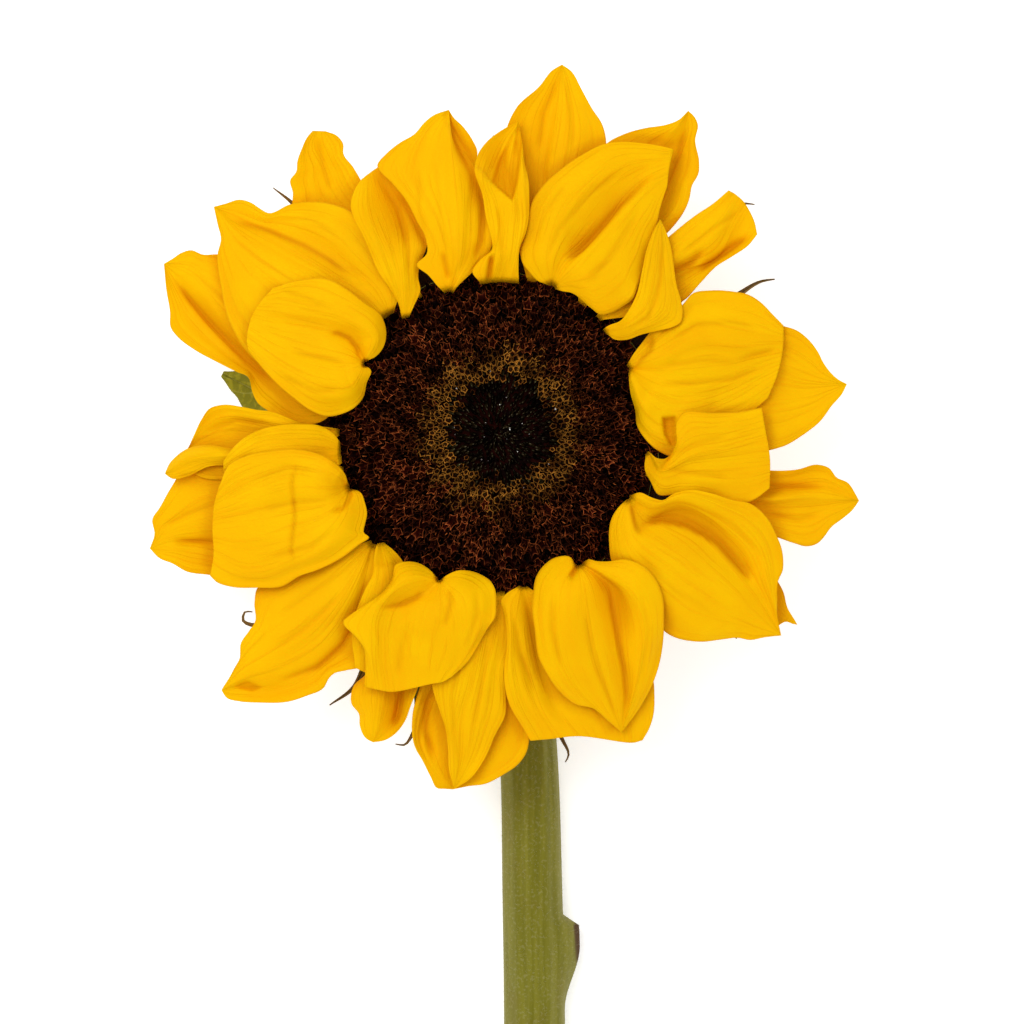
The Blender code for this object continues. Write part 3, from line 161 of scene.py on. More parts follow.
# ---- ray petals ----------------------------------------------------------------------------------
# Each petal is a loft through ribs that run from its claw, on the rim of the cup, to its tip. A rib's
# points are (x, y) or (x, y, h), seen from above in millimetres from the middle of the disc, with h the
# height of a ridge (or, below zero, the depth of a crease) over the petal's own arch. The first rib is
# the petal's left edge, seen from the disc, and the last its right edge. The petals are listed as they
# lie, from the bottom of the pile up.
PETALS = [
    ("petal_n_back", "back", [
        [(6.0, 28.4), (3.5, 38), (2.2, 50), (2.1, 57), (4, 61), (8.2, 65), (10.7, 68.1), (12.4, 69.1)],
        [(6.5, 28.3), (7.5, 42, 1.2), (8, 50, -0.6), (9.8, 62, -0.6), (12.4, 69.1)],
        [(6.9, 28.3), (10, 40, 1.6), (12, 50, 1), (13.4, 60, 1), (12.4, 69.1)],
        [(7.4, 28.2), (14, 38), (18.5, 48), (20.6, 54.2), (19.8, 58), (18, 60.8), (16, 64.5), (14, 68),
         (12.4, 69.1)],
    ]),
    ("petal_ne_back", "back", [
        [(15.4, 24.4), (15, 36), (17.5, 48), (20.7, 54.2), (24, 56), (28, 57.2), (32, 57.9), (34, 58.7),
         (35.9, 60.5)],
        [(15.8, 24.1), (20, 36, 1), (26, 48, 1.5), (30, 54, -1.5), (33.5, 57, 0.5), (35.9, 60.5)],
        [(16.1, 23.9), (22, 35, 0.5), (30, 44, -1), (32.6, 50.5, -2), (35.3, 56, -1.2), (35.9, 60.5)],
        [(16.5, 23.6), (26, 32), (36.1, 44.2), (36.5, 46.3), (37.8, 48.8), (37.9, 51), (37.2, 55),
         (37.7, 58), (37, 59.5), (35.9, 60.5)],
    ]),
    ("petal_e_back", "back", [
        [(27.5, 8), (38, 18), (48, 21), (53.5, 20.3), (56, 19.5), (58, 18), (60, 15.5), (61, 13.5),
         (64, 10.3), (65.4, 9.6)],
        [(27.7, 7.3), (40, 11, 1), (50, 10.5, 0.5), (58, 9.3, -0.8), (65.4, 9.6)],
        [(27.8, 6.6), (36, -1), (44, -4), (50.3, -2.9), (54, -1.8), (57, 0), (60.5, 2.8), (62.5, 5.5),
         (64.5, 7.8), (65.4, 9.6)],
    ]),
    ("petal_ese_back", "back", [
        [(27.9, -6), (38, -5), (46, -5.8), (51.2, -6.5), (56, -6.3), (60, -5.4), (62, -6), (63.5, -7.8),
         (65.5, -8.7), (67, -10.8), (67.7, -12.1)],
        [(27.8, -6.4), (40, -8.5), (50, -9.8, -1.2), (56, -8.9, -1.3), (61, -8.6, -0.8), (67.7, -12.1)],
        [(27.7, -6.7), (40, -10), (50, -11.8, 0.9), (58, -11.2, 0.9), (67.7, -12.1)],
        [(27.6, -7), (38, -11.5), (50, -13.7, -0.6), (58, -13.6, -0.6), (64, -12.6), (67.7, -12.1)],
        [(27.5, -7.3), (36, -12), (44, -16.5), (52, -18.8), (55.5, -20), (58, -20.6), (60, -20),
         (61, -19), (62.5, -17), (64.5, -15.5), (66.5, -13.8), (67.7, -12.1)],
    ]),
    ("petal_se_back", "back", [
        [(22.0, -18.2), (34, -20), (46, -23), (52.4, -27), (53.5, -29), (54.3, -32), (55.7, -34.3),
         (56.2, -35.2)],
        [(21.7, -18.6), (34, -24, 1), (46, -30, 1), (52.5, -33.2), (56.2, -35.2)],
        [(21.3, -19.0), (30, -26), (40, -33), (48, -36), (52.5, -35.4), (54, -34.6), (55.3, -35),
         (56.2, -35.2)],
    ]),
    ("petal_s_back", "back", [
        [(-3.4, -28.5), (1, -40), (5, -50), (6.3, -56.5), (5.8, -58.8), (4.5, -60.8), (1.5, -63),
         (-2, -64.8), (-5, -65.2), (-7.9, -65.8)],
        [(-4, -28.4), (-3, -42, 1), (-5, -54, -0.5), (-7.3, -61, -0.6), (-7.9, -65.8)],
        [(-4.4, -28.4), (-8, -42, 1), (-11.5, -50, -1.5), (-13, -56, -1.5), (-11, -62), (-7.9, -65.8)],
        [(-4.8, -28.3), (-11, -38), (-14, -46.7), (-15.4, -52), (-14.9, -58), (-13.5, -60.5),
         (-12, -63.5), (-10.8, -65.6), (-9.5, -65.7), (-7.9, -65.8)],
    ]),
    ("petal_ssw_back", "back", [
        [(-13.9, -25.2), (-12.5, -36), (-13.5, -44), (-14.5, -47.2), (-15.8, -50.5), (-16.5, -52.5),
         (-18, -54.8), (-20.5, -56.6), (-22.7, -57)],
        [(-14.2, -25.0), (-17, -36, 1), (-18, -46, -1.5), (-18.5, -52, -1.8), (-21, -55.5, -0.3),
         (-22.7, -57)],
        [(-14.5, -24.9), (-19, -36, 1.5), (-21.5, -47, 1.2), (-22, -53, 0.8), (-22.7, -57)],
        [(-14.9, -24.6), (-21, -34), (-24, -44.3), (-26.3, -46.5), (-26.7, -49.8), (-25.3, -51.8),
         (-25.2, -53.8), (-24, -56.3), (-22.7, -57)],
    ]),
    ("petal_wsw_back", "back", [
        [(-24.9, -14.2), (-36, -24), (-46, -27), (-53, -25.9), (-57.5, -25.2), (-60, -23.8),
         (-62.5, -22.8), (-64.3, -21)],
        [(-25.1, -13.8), (-40, -21, 1), (-50, -21.5, -1.8), (-56, -20.5, -1.5), (-60, -20.3, -0.3),
         (-64.3, -21)],
        [(-25.3, -13.4), (-40, -16, 1), (-50, -15.5, 0.8), (-56, -16.6, -0.6), (-61, -18.3, -0.4),
         (-64.3, -21)],
        [(-25.5, -13.0), (-38, -8), (-50, -5), (-57, -5.5), (-60.5, -10), (-62.5, -13.5), (-63.8, -15.5),
         (-63.4, -18.3), (-64.3, -21)],
    ]),
    ("petal_wnw_back", "back", [
        [(-28.1, 5.8), (-33, 2.2), (-37, 2.2), (-40, 3.2), (-42, 4.5), (-44, 6), (-45, 8), (-45.8, 10.8),
         (-48, 11.8), (-52, 13.8), (-56, 16), (-59, 18.3), (-60.3, 20), (-60.5, 23), (-61.2, 27),
         (-61.7, 32)],
        [(-28.0, 6.2), (-36, 5.5, -0.6), (-41, 9.5, -1.2), (-47, 14.5, -1.6), (-54, 21.5, -1.5),
         (-60, 29.3, -0.5), (-61.7, 32)],
        [(-27.9, 6.6), (-36, 10, 0.5), (-44, 17, 1), (-51, 25, 1), (-57, 31, 0.5), (-61.7, 32)],
        [(-27.7, 7.0), (-34, 16), (-42, 27), (-51.5, 33.7), (-54.5, 33.7), (-56.5, 34.5), (-58.5, 34),
         (-60, 33), (-61.7, 32)],
    ]),
    ("petal_nnw_back", "back", [
        [(-14.2, 25.2), (-26, 34), (-37.7, 43), (-37.6, 45), (-38.1, 47.5), (-37, 49), (-36.8, 51),
         (-36, 53.3), (-35, 55.5), (-34, 56.7)],
        [(-13.8, 25.4), (-24, 38, 1), (-31, 46, -1.5), (-32.2, 50, -1.5), (-34, 54, -0.6), (-33.2, 56.7)],
        [(-13.4, 25.6), (-19, 36), (-24.9, 47.3), (-26.5, 50), (-28.2, 52.3), (-28.3, 54.3),
         (-29.5, 55.8), (-31.5, 56.6)],
    ]),
    ("petal_w_back", "back", [
        [(-28.6, 0.1), (-38, -5), (-48, -8), (-55, -7.5), (-58.5, -4)],
        [(-28.7, 0.6), (-40, 0, 1), (-50, 0.8, -1), (-55, -1, -0.6), (-58.5, -4)],
        [(-28.6, 1.1), (-36, 2.4), (-42, 4.5), (-44, 4.7), (-47, 5.3), (-50.5, 5.7), (-53, 5), (-54.5, 3),
         (-56, 0), (-57.2, -2.5), (-58.5, -4)],
    ]),
    ("petal_ne_middle", "middle", [
        [(18.6, 22.0), (26, 31), (33, 37.5), (38, 41.4), (40, 42.7), (43.3, 45.5)],
        [(18.8, 21.8), (28, 29, 1), (36, 35, 0.8), (41, 39, 1), (44.8, 44.6)],
        [(19.0, 21.6), (28, 27.5), (35, 31, -1.3), (41, 33.5, -1), (44.3, 39.5, -0.5), (46.4, 43)],
        [(19.1, 21.4), (28, 25.5), (36, 30, -1.8), (41, 32.6, -1.5), (44.5, 35.3, -1.3), (48, 40, -0.4)],
        [(19.3, 21.2), (28, 22.5), (35, 25), (38, 28.2), (41, 31.3), (44, 33.2), (47, 35.3),
         (48.6, 37.3)],
    ]),
    ("petal_w_curled", "middle", [
        [(-27.9, -6.9), (-38, -7.5), (-47, -6), (-53, -5.8), (-57, -7.6), (-60, -8), (-61.2, -7.2)],
        [(-28.0, -6.4), (-38, -5, 1), (-49, -3.9, 1.5), (-56, -4.4, 1.8), (-61.2, -7.0, 0.8)],
        [(-28.1, -5.9), (-38, -2), (-49, -2.4), (-54, -1.8), (-57.2, -2.5), (-59, -3.7), (-60.5, -5.3),
         (-61.2, -6.8)],
    ]),
    ("petal_w_middle", "middle", [
        [(-28.3, -5.2), (-32, -8.5), (-39, -11), (-46, -11), (-50, -8.5)],
        [(-28.5, -3.4), (-36, -4, 1.2), (-43, -4.5, 0.8), (-50.2, -6.6)],
        [(-28.6, -1.4), (-29.6, 0), (-32, 1.6), (-36, 2.1), (-40.5, 1.8), (-44.7, 0.5), (-48.3, -2.2),
         (-50.2, -4.8)],
    ]),
    ("petal_e_middle", "middle", [
        [(24.3, 12.9), (25.4, 14.8), (27.2, 17.2), (28.9, 19.4), (31, 21.5), (34.5, 24), (36.5, 26.2),
         (40, 26.8), (44, 26.6), (47, 26), (49, 24.8), (51.5, 22.3), (53.4, 20.4)],
        [(24.6, 12.4), (30, 14.5, 1.2), (38, 18, 1.6), (46, 17.5, 1), (53.4, 17.4)],
        [(24.7, 12.2), (29, 10.5), (34, 9.6, -0.5), (42, 10.4, -0.4), (48, 12.6, -0.3), (53, 14.2)],
        [(24.7, 11.9), (27, 6, 1.5), (31.5, 2.5, -2), (36, 3, -1), (44, 6), (52, 10.6, 0.3)],
        [(24.6, 11.6), (24.9, 8), (25.9, 4.2), (26.1, 2), (27.5, -0.5), (30.2, -3), (32.8, -4),
         (36, -2.6), (40, 0.4), (46, 3.2), (50.4, 6.8)],
    ]),
    ("petal_s_middle", "middle", [
        [(1.7, -28.8), (2.3, -32), (2.9, -36), (2.8, -39), (1.6, -43), (2, -49), (1.9, -51.5), (0, -55.5),
         (-2, -60), (-5, -64), (-7.6, -65.6)],
        [(1.3, -28.8), (0, -36), (-1.5, -44, 0.8), (-3, -52, 0.6), (-5, -60, -0.3), (-7.6, -65.6)],
        [(0.9, -28.8), (-4, -38, 1), (-6, -46, 1), (-7.5, -53), (-7.2, -60, 0.2), (-7.6, -65.6)],
        [(0.5, -28.8), (-6, -36), (-11.7, -43), (-11.7, -46), (-10.3, -51), (-9.3, -54), (-8.8, -58),
         (-8.6, -62), (-7.6, -65.6)],
    ]),
    ("petal_sw_middle", "middle", [
        [(-21.6, -20.3), (-20.8, -23), (-21.2, -27), (-22.6, -30), (-24, -34), (-24, -39), (-24.3, -42.6),
         (-27.5, -43.5), (-30, -44.2), (-30.8, -45), (-31.8, -46.8), (-35, -48.3), (-38, -49.3),
         (-44, -49.6), (-47.5, -49.4), (-50, -48.7), (-50.9, -47.3)],
        [(-22.4, -20.1), (-25, -30, -0.5), (-28, -38, -1.2), (-33, -43, -0.9), (-42, -46.8, -0.8),
         (-47, -47, -0.6), (-50.9, -47.3)],
        [(-22.6, -20.0), (-27, -30, 1), (-33, -38, 0.6), (-40, -42, 0.8), (-46, -44.3, 0.8),
         (-50.9, -47.3)],
        [(-22.8, -19.9), (-30, -27, 1), (-37, -33, 1.2), (-43, -38, 0.8), (-48, -43), (-50.9, -47.3)],
        [(-23, -19.4), (-28.5, -21.4), (-35, -24.2), (-41, -27), (-44, -28.2), (-44.6, -31),
         (-44.5, -34.5), (-45.7, -36.3), (-47.2, -38.5), (-47.5, -41.5), (-48.5, -43.3), (-49, -45),
         (-50.3, -46.3), (-50.9, -47.3)],
    ]),
    ("petal_sw_sliver", "middle", [
        [(-20.6, -19.8), (-18.4, -21.6), (-16.4, -24.5), (-15.8, -30), (-17.5, -38), (-21, -44)],
        [(-21.1, -19.9), (-20, -25, 0.8), (-20, -31, 0.5), (-21.5, -38), (-23.5, -44)],
        [(-21.8, -20), (-22.4, -23), (-22.6, -25.5), (-24, -28.5), (-26.3, -35), (-26, -43)],
    ]),
    ("petal_nw_middle", "middle", [
        [(-20.8, 21.2), (-26.5, 16.5), (-34, 12.5), (-40.5, 11.8), (-44.8, 14.2), (-47.1, 17.1),
         (-49.6, 22), (-50.9, 28), (-51.5, 33.7), (-50.9, 36.5), (-51.5, 39), (-52.3, 42.5)],
        [(-20.7, 21.4), (-30, 26, 1), (-40, 31, 1.2), (-47, 36, 0.6), (-52.3, 42.5)],
        [(-19.8, 22.1), (-23, 26.5), (-28.5, 30.5, -1.3), (-34, 34.3, -1.2), (-40, 37.2, -0.8),
         (-46.5, 39.8, -0.9), (-52.3, 42.5)],
        [(-18.8, 22.6), (-17.8, 26), (-19.8, 31), (-22.6, 36.5), (-26, 41), (-31, 43), (-38, 42.8),
         (-42.3, 41.3), (-43.5, 42), (-45.5, 43.3), (-47.5, 43.8), (-50, 43.1), (-52.3, 42.5)],
    ]),
    ("petal_s_right", "middle", [
        [(5.8, -27.9), (14, -33), (24, -40), (29.3, -45.5), (29.5, -48), (29.3, -52), (28.5, -54.5),
         (27.3, -56.6)],
        [(5.5, -27.9), (12, -38, 0.5), (19, -47, 0.8), (23.5, -52, 0.5), (24.5, -57)],
        [(5.2, -27.9), (8, -38, -1), (10.5, -46, -1), (13, -52), (16, -55.8)],
        [(4.9, -27.9), (3.8, -36, 1), (4.5, -44, 1), (7, -51, 0.8), (10, -56.3)],
        [(4.5, -27.8), (2, -29.3), (1.1, -30.3), (1.6, -33), (2.2, -37), (2.1, -39), (1.6, -43),
         (1.7, -46), (2.5, -49.5), (5, -54), (6.5, -56.6)],
    ]),
    ("petal_nnw_middle", "middle", [
        [(-17.2, 21.4), (-17.9, 24.3), (-19.4, 26.9), (-21.7, 30.3), (-23.1, 33.7), (-24.4, 36.8),
         (-26.3, 40.5), (-26.7, 42), (-26, 45.5), (-24.9, 47.3)],
        [(-16.9, 21.5), (-17.8, 26, 1), (-20, 33, 1.4), (-23.5, 41, 1), (-23.8, 48.2)],
        [(-16.6, 21.6), (-16.5, 27, 1.3), (-16.8, 33, 0.8), (-17.5, 39, -1.6), (-20.5, 46, -1),
         (-22, 49.5)],
        [(-15.9, 21.8), (-14.9, 24), (-13.8, 26.8), (-14.2, 29.2), (-13.8, 31.8), (-12.6, 35), (-15, 42),
         (-18.5, 51.5)],
    ]),
    ("petal_e_front", "front", [
        [(28.2, -3), (29.5, -4.2), (31.2, -4.4), (32.6, -3.2), (33.4, -1), (33.4, 2.2), (34.3, 3.8),
         (40, 4.1), (45, 4.3), (49.2, 5.1)],
        [(28.2, -3), (30.5, -6, 1.5), (36, -3, 1.2), (43, -1.5, 0.6), (50, 0.5)],
        [(28.1, -3.2), (30, -7, 1.5), (36, -5.5, 0.8), (43, -5, 0.4), (50.8, -4.5)],
        [(27.8, -3.4), (27.6, -6.5), (28.6, -8.5), (30, -11), (33.5, -11), (38, -11.5), (43, -12.6),
         (46.8, -12.4), (48.5, -11.5), (50.7, -9.8)],
    ]),
    ("petal_se_front", "front", [
        [(24.8, -11.2), (26.5, -10.6), (29, -11.6), (31, -12), (32.5, -11), (36, -10.1), (40, -10.8),
         (44, -12), (47, -12.6), (50, -15), (52, -18.5), (53, -21), (53.3, -23), (53.2, -25),
         (52.4, -26.8), (52.2, -31), (52.2, -34), (53, -37.1)],
        [(24.8, -11.4), (29, -13.3, 0.5), (34, -12, 1.2), (41, -14.5, 1.2), (48, -20, 1), (51, -29, 0.5),
         (53, -37.1)],
        [(24.7, -11.6), (28.5, -15), (33, -14.6, -1.2), (38, -17, -1.2), (42.5, -21.5, -1),
         (48.2, -28.8, -0.5), (53, -37.1)],
        [(24.6, -11.8), (25, -18, 2), (33, -25, 2.4), (42, -31, 1.8), (50, -35.5, 0.4), (53, -37.1)],
        [(24.4, -11.8), (23, -13), (21.3, -15.8), (21, -17.5), (21, -20), (21.3, -22.8), (24.5, -28),
         (28.5, -33), (32, -36.8), (38, -38.2), (42, -37.8), (45, -37.5), (47, -37.9), (50, -37.4),
         (53, -37.1)],
    ]),
    ("petal_ne_front", "front", [
        [(10.0, 27.7), (8, 28.3), (6.3, 30), (5, 31.7), (4.7, 34), (5.3, 36), (6, 40), (6.8, 43),
         (9, 46.3), (12, 49), (16, 51.8), (20.5, 54), (24, 54.3), (28, 54), (31.5, 53.4), (33, 53)],
        [(10.3, 27.7), (9.8, 33, 2), (12, 40, 1.8), (17, 46.5, 1.2), (23, 51, 0.6), (32.7, 51.7)],
        [(10.6, 27.6), (12.5, 31.5, 0.5), (16.5, 34.8, -1.5), (20.5, 39.5, -1.7), (23.5, 44, -1.4),
         (28, 48, -0.5), (32.3, 50)],
        [(10.9, 27.4), (14.5, 30.5, 1.6), (19.5, 36, 1.4), (24.5, 42, 1.4), (28.5, 46, 0.8), (32, 48)],
        [(11.0, 27.1), (12, 26.6), (14, 26.2), (17.5, 23.5), (19.4, 22.2), (22, 22.8), (24, 24),
         (25, 24.7), (26.5, 28), (27.5, 31), (28.3, 35), (29.7, 38.5), (30.5, 42), (31.8, 46)],
    ]),
    ("petal_n_middle", "front", [
        [(-9.3, 26.2), (-10.4, 27.2), (-12.4, 29.5), (-14.5, 31.3), (-12.6, 33.4), (-12.9, 36.5),
         (-14.5, 39.5), (-16.6, 43.5), (-19, 46.4), (-21.8, 50), (-20, 52.2), (-17.5, 54.2), (-15, 55.7),
         (-13, 58), (-11.5, 59.2), (-8.6, 60.3)],
        [(-8.6, 26.4), (-8.9, 33, 0.5), (-11, 40, 1.4), (-14.5, 48, 1), (-12.5, 56, 0.3), (-8.6, 60.3)],
        [(-8.4, 26.4), (-6.8, 33, 2), (-7, 42, 1.8), (-8, 51, 1.2), (-8.6, 60.3)],
        [(-8.1, 26.4), (-5, 33, 1), (-4.2, 42), (-4.2, 49.5, -1), (-6.5, 53, -1.8), (-8.2, 56.5, -1.5),
         (-8.6, 60.3)],
        [(-7.8, 26.3), (-6.5, 27.8), (-4.6, 29.6), (-2.3, 32), (-0.7, 34.3), (-0.5, 36), (-0.9, 39),
         (-1.5, 42), (-3, 47), (-3.6, 50), (-3.3, 52.5), (-4.3, 54.8), (-6, 57.2), (-7.8, 59),
         (-8.6, 60.3)],
    ]),
    ("petal_n_front", "front", [
        [(-2.6, 27.9), (-4.2, 30), (-2.8, 32.2), (-0.6, 34.2), (-0.9, 37), (-1.7, 40), (-2.3, 44),
         (-3.8, 49.5), (-3.2, 51.8), (-1.5, 54.3), (2, 57), (4.3, 58.2)],
        [(-1.1, 28.1), (0.2, 34, 1.5), (0.8, 39, 1), (0.2, 43, 0.8), (-1, 46.2, 0.8), (0, 50, -2.2),
         (1.5, 54, -2), (4.3, 58.2)],
        [(0.9, 28.2), (2.2, 34, 2), (2.5, 38, 1.8), (3, 43, 1.8), (2.4, 48, -1.2), (3, 53, -0.6),
         (4.3, 58.2)],
        [(2.8, 28.1), (4, 34, 1.6), (4.8, 40, 1.6), (4.4, 45, 1.8), (4.8, 49, 1.2), (4.3, 53, -0.3),
         (4.3, 58.2)],
        [(4.4, 28.0), (4.3, 31), (4.6, 34.5), (5.6, 37), (6.2, 40), (6.3, 44), (6, 48), (5.4, 50.5),
         (5, 54), (4.3, 58.2)],
    ]),
    ("petal_sse_front", "front", [
        [(16.3, -23.5), (17.2, -22.9), (18.5, -23.2), (20.5, -23.3), (24, -22.9), (27, -24),
         (29.5, -26.5), (30.8, -29.5), (31.1, -34), (31, -38), (30.5, -41.5), (29.3, -45.5), (27, -50),
         (23.4, -55)],
        [(16.1, -23.7), (19, -25, 1), (25, -29, 2.4), (27.5, -36, 2), (27, -43, 1.4), (25.5, -49, 0.6),
         (23.4, -55)],
        [(15.8, -23.9), (18.5, -25.5), (21.3, -28, -1), (22.6, -33, -1.3), (23.4, -40, -1.1),
         (24.5, -47, -0.6), (23.4, -55)],
        [(15.5, -24.0), (17, -26.5, 1.2), (18.4, -32, 1), (20.2, -40, 0.8), (22, -48, 0.4), (23.4, -55)],
        [(15.1, -23.9), (13, -28, 2), (12.5, -35, 2), (14, -43, 1.4), (18, -49, 0.6), (23.4, -55)],
        [(14.7, -23.6), (14, -22.6), (11, -22.6), (9, -24), (7.6, -26), (7, -29), (6.8, -31.5),
         (7.3, -36), (8, -41), (9.5, -44), (12, -47.5), (15, -49.8), (18, -50.5), (21, -53), (23.4, -55)],
    ]),
    ("petal_ssw_front", "front", [
        [(-9.9, -26.5), (-8.5, -25.6), (-7, -25), (-5, -25), (-2.5, -25.8), (-0.8, -27), (0, -28.5),
         (0.2, -31), (0, -33.5), (-1.3, -35.5), (-3.3, -39), (-5.2, -42), (-8, -44.6)],
        [(-10.1, -26.7), (-6, -30, 2.2), (-5, -36, 1.6), (-6.5, -41, 0.6), (-9.8, -45.6)],
        [(-10.2, -26.8), (-10.5, -31, 0.5), (-11, -38, 0.8), (-12, -46)],
        [(-10.4, -26.8), (-13, -29, -1), (-17.5, -31.5, -2), (-19, -36, -0.5), (-18.5, -47.4)],
        [(-10.5, -26.7), (-15, -26, 1.8), (-20, -29.5, 1), (-22.5, -33, 0.8), (-22.8, -39, 1),
         (-22, -47)],
        [(-10.6, -26.5), (-12, -24.9), (-14.5, -23.5), (-17, -23.4), (-18.3, -23.8), (-19, -26.5),
         (-20.8, -29), (-24, -31.3), (-26.5, -33), (-28, -34.3), (-25.5, -37.5), (-24.3, -39.3),
         (-24, -42), (-24.2, -46.5)],
    ]),
    ("petal_w_front", "front", [
        [(-26.6, -9.9), (-24.8, -10.6), (-24, -12.5), (-23.6, -14.5), (-24, -16.5), (-24.2, -18),
         (-23.2, -18.8), (-25, -20.2), (-28.5, -22.8), (-33, -25), (-36, -26), (-39.5, -28), (-44, -28.2),
         (-49, -28), (-51.5, -27.2), (-52.8, -26)],
        [(-26.8, -9.8), (-27.5, -14, 2), (-31, -19, 2), (-38, -23, 1.4), (-46, -24.8, 0.8), (-52.1, -22)],
        [(-26.9, -9.7), (-30, -13.5, 2), (-36.8, -15.5, 0.8), (-44, -17, 1.4), (-52.3, -17.5)],
        [(-27.0, -9.5), (-31, -8.5, 2), (-37.8, -7.5, 0.8), (-44, -9.5, 1), (-52, -13)],
        [(-27.0, -9.3), (-27.6, -7.2), (-29.6, -5), (-32.5, -3.5), (-36.5, -2.7), (-41, -2.9),
         (-45.5, -3.7), (-49, -5.4), (-51, -9.5)],
    ]),
    ("petal_nw_front", "front", [
        [(-23.9, 12.8), (-22.9, 12), (-23.7, 9.5), (-24.3, 7), (-26, 5), (-28.5, 3.8), (-31, 3.4),
         (-34, 4.5), (-37, 6.7), (-40, 9.2), (-42, 11.3), (-44, 13.6), (-45.6, 15.6)],
        [(-24.1, 12.9), (-27, 9, 2.2), (-32, 9, 2), (-38, 12, 1.4), (-43, 15.5, 0.6), (-45.9, 17.6)],
        [(-24.2, 13.1), (-26.5, 13.5, 1.2), (-31, 14.2, 0.8), (-38, 16, 0.6), (-43, 18.3, 0.3),
         (-45.6, 19.8)],
        [(-24.1, 13.4), (-25, 16, -0.5), (-27, 18.2, -0.8), (-32, 19.6, -0.3), (-40, 21.2),
         (-44.8, 22.3)],
        [(-24.0, 13.5), (-22.5, 18, 1.8), (-27, 22, 1.4), (-34, 24, 0.8), (-39.5, 25.2, 0.2),
         (-43.2, 24.8)],
        [(-23.8, 13.6), (-22.2, 14.3), (-20.8, 15.8), (-20.1, 18), (-20.3, 20.3), (-21, 22), (-24, 24.3),
         (-27.5, 27), (-31, 28.8), (-36, 28.6), (-41, 27.2)],
    ]),
    ("petal_ene_front", "front", [
        [(19.8, 19.5), (21, 20.2), (23, 21), (24.6, 23), (26, 25.8), (27, 30), (28, 34.5), (29.5, 38.3),
         (30.5, 39.9)],
        [(20.1, 19.2), (24, 19.8, 1.5), (28.5, 23, 2), (30, 29, 1.4), (30.3, 34, 0.6), (30.5, 39.9)],
        [(20.4, 18.9), (22, 17.6), (24, 17.5), (27, 18.5), (30.5, 19.3), (32.5, 19.8), (34.2, 20.8),
         (34.6, 22.5), (34.3, 24.8), (33.5, 27.5), (33, 31), (32.6, 34), (31.8, 37), (30.5, 39.9)],
    ]),
]

# ---- bracts --------------------------------------------------------------------------------------
# (name, direction in degrees from +X, radius of the tip, how it lies). A spreading bract runs out under the
# petals and its tip shows between them. A resting bract bends back until its tip touches the surface.
BRACTS = [
    ("bract_01", 10.0, 50.0, "spreading"),
    ("bract_02", 43.0, 64.5, "spreading"),
    ("bract_03", 66.0, 52.0, "spreading"),
    ("bract_04", 90.4, 56.0, "spreading"),
    ("bract_05", 110.0, 52.0, "spreading"),
    ("bract_06", 132.0, 61.5, "spreading"),
    ("bract_07", 155.0, 50.0, "spreading"),
    ("bract_08", 182.0, 50.0, "spreading"),
    ("bract_09", 216.5, 57.5, "spreading"),
    ("bract_10", 252.0, 60.0, "spreading"),
    ("bract_11", 282.0, 61.5, "spreading"),
    ("bract_12", 320.0, 59.0, "spreading"),
    ("bract_13", 345.0, 50.0, "spreading"),
    ("bract_14", 30.0, 59.5, "low"),
    ("bract_15", 76.0, 46.0, "resting"),
    ("bract_16", 121.0, 46.0, "resting"),
    ("bract_17", 165.0, 47.0, "low"),
    ("bract_18", 199.0, 47.0, "low"),
    ("bract_19", 238.5, 59.0, "low"),
    ("bract_20", 301.0, 46.0, "resting"),
    ("bract_21", 354.0, 46.0, "resting"),
]
# For each way of lying: base radius, base height, share of the way out to the middle, middle height, tip
# height and widest half-width.
BRACT_SHAPES = {
    "spreading": (30.3, 33.2, 0.45, 31.4, 30.5, 4.6),
    "low": (28.3, 28.2, 0.40, 26.6, 27.0, 5.6),
    "resting": (25.9, 25.6, 0.45, 16.0, 0.8, 5.4),
}

# A bract's width along its length, and how far its edges tilt to overlap the next one's.
BRACT_SHARES = [0, 0.15, 0.4, 0.6, 0.8, 1.0]
BRACT_WIDTHS = {
    "spreading": [1.6, 1.8, 1.05, 0.30, 0.10, 0.022],
    "low": [1.0, 1.2, 0.7, 0.20, 0.085, 0.022],
    "resting": [0.9, 1.1, 0.9, 0.4, 0.12, 0.04],
}
BRACT_OVERLAP = {"spreading": 0.16, "low": 0.0, "resting": 0.0}
BRACT_BULGE = 0.3
BRACT_TIP_RISE = 0.6
BRACT_BEND = 0.25  # the share of its length that bends round the cup, and the share that it straightens in
BRACT_CUPPING = 0.14
BRACT_TURNS = 1.5
BRACT_TWIST = 0.03
BRACT_NERVES = [(0.0, 0.15, 0.025), (0.5, 0.12, 0.012)]  # (place across, half-width, depth) of each groove
BRACT_CLEARANCE = 0.1

# ---- the leaf ------------------------------------------------------------------------------------
LEAF_SPINE = [
    (-6.5, -12.0, 10.5),
    (-14, -8.5, 13.5),
    (-26, -2.0, 14.5),
    (-40, 6.0, 9.5),
    (-52.3, 12.2, 0.8),
]
LEAF_HALF_WIDTHS = [1.6, 7.5, 12.5, 10.5, 0.6]
LEAF_TEETH = 13
LEAF_TOOTH = 0.05
LEAF_DROOP = 0.16
LEAF_CLEARANCE = 0.05
LEAF_SIDE_VEINS = 9
LEAF_VEIN_SLANT = 0.11
LEAF_MIDRIB = (0.5, 0.06)  # depth and half-width
LEAF_SIDE_VEIN_DEPTH = 0.14
LEAF_MIDRIB_CLEAR = 0.1

# ---- the cup's ribs ------------------------------------------------------------------------------
CUP_RIBS = 26
CUP_RIB_HEIGHT = 0.18
CUP_RIBS_FROM = 18.0
CUP_RIBS_RISE = 6.0
CUP_PLAIN_RADIUS = 5.0

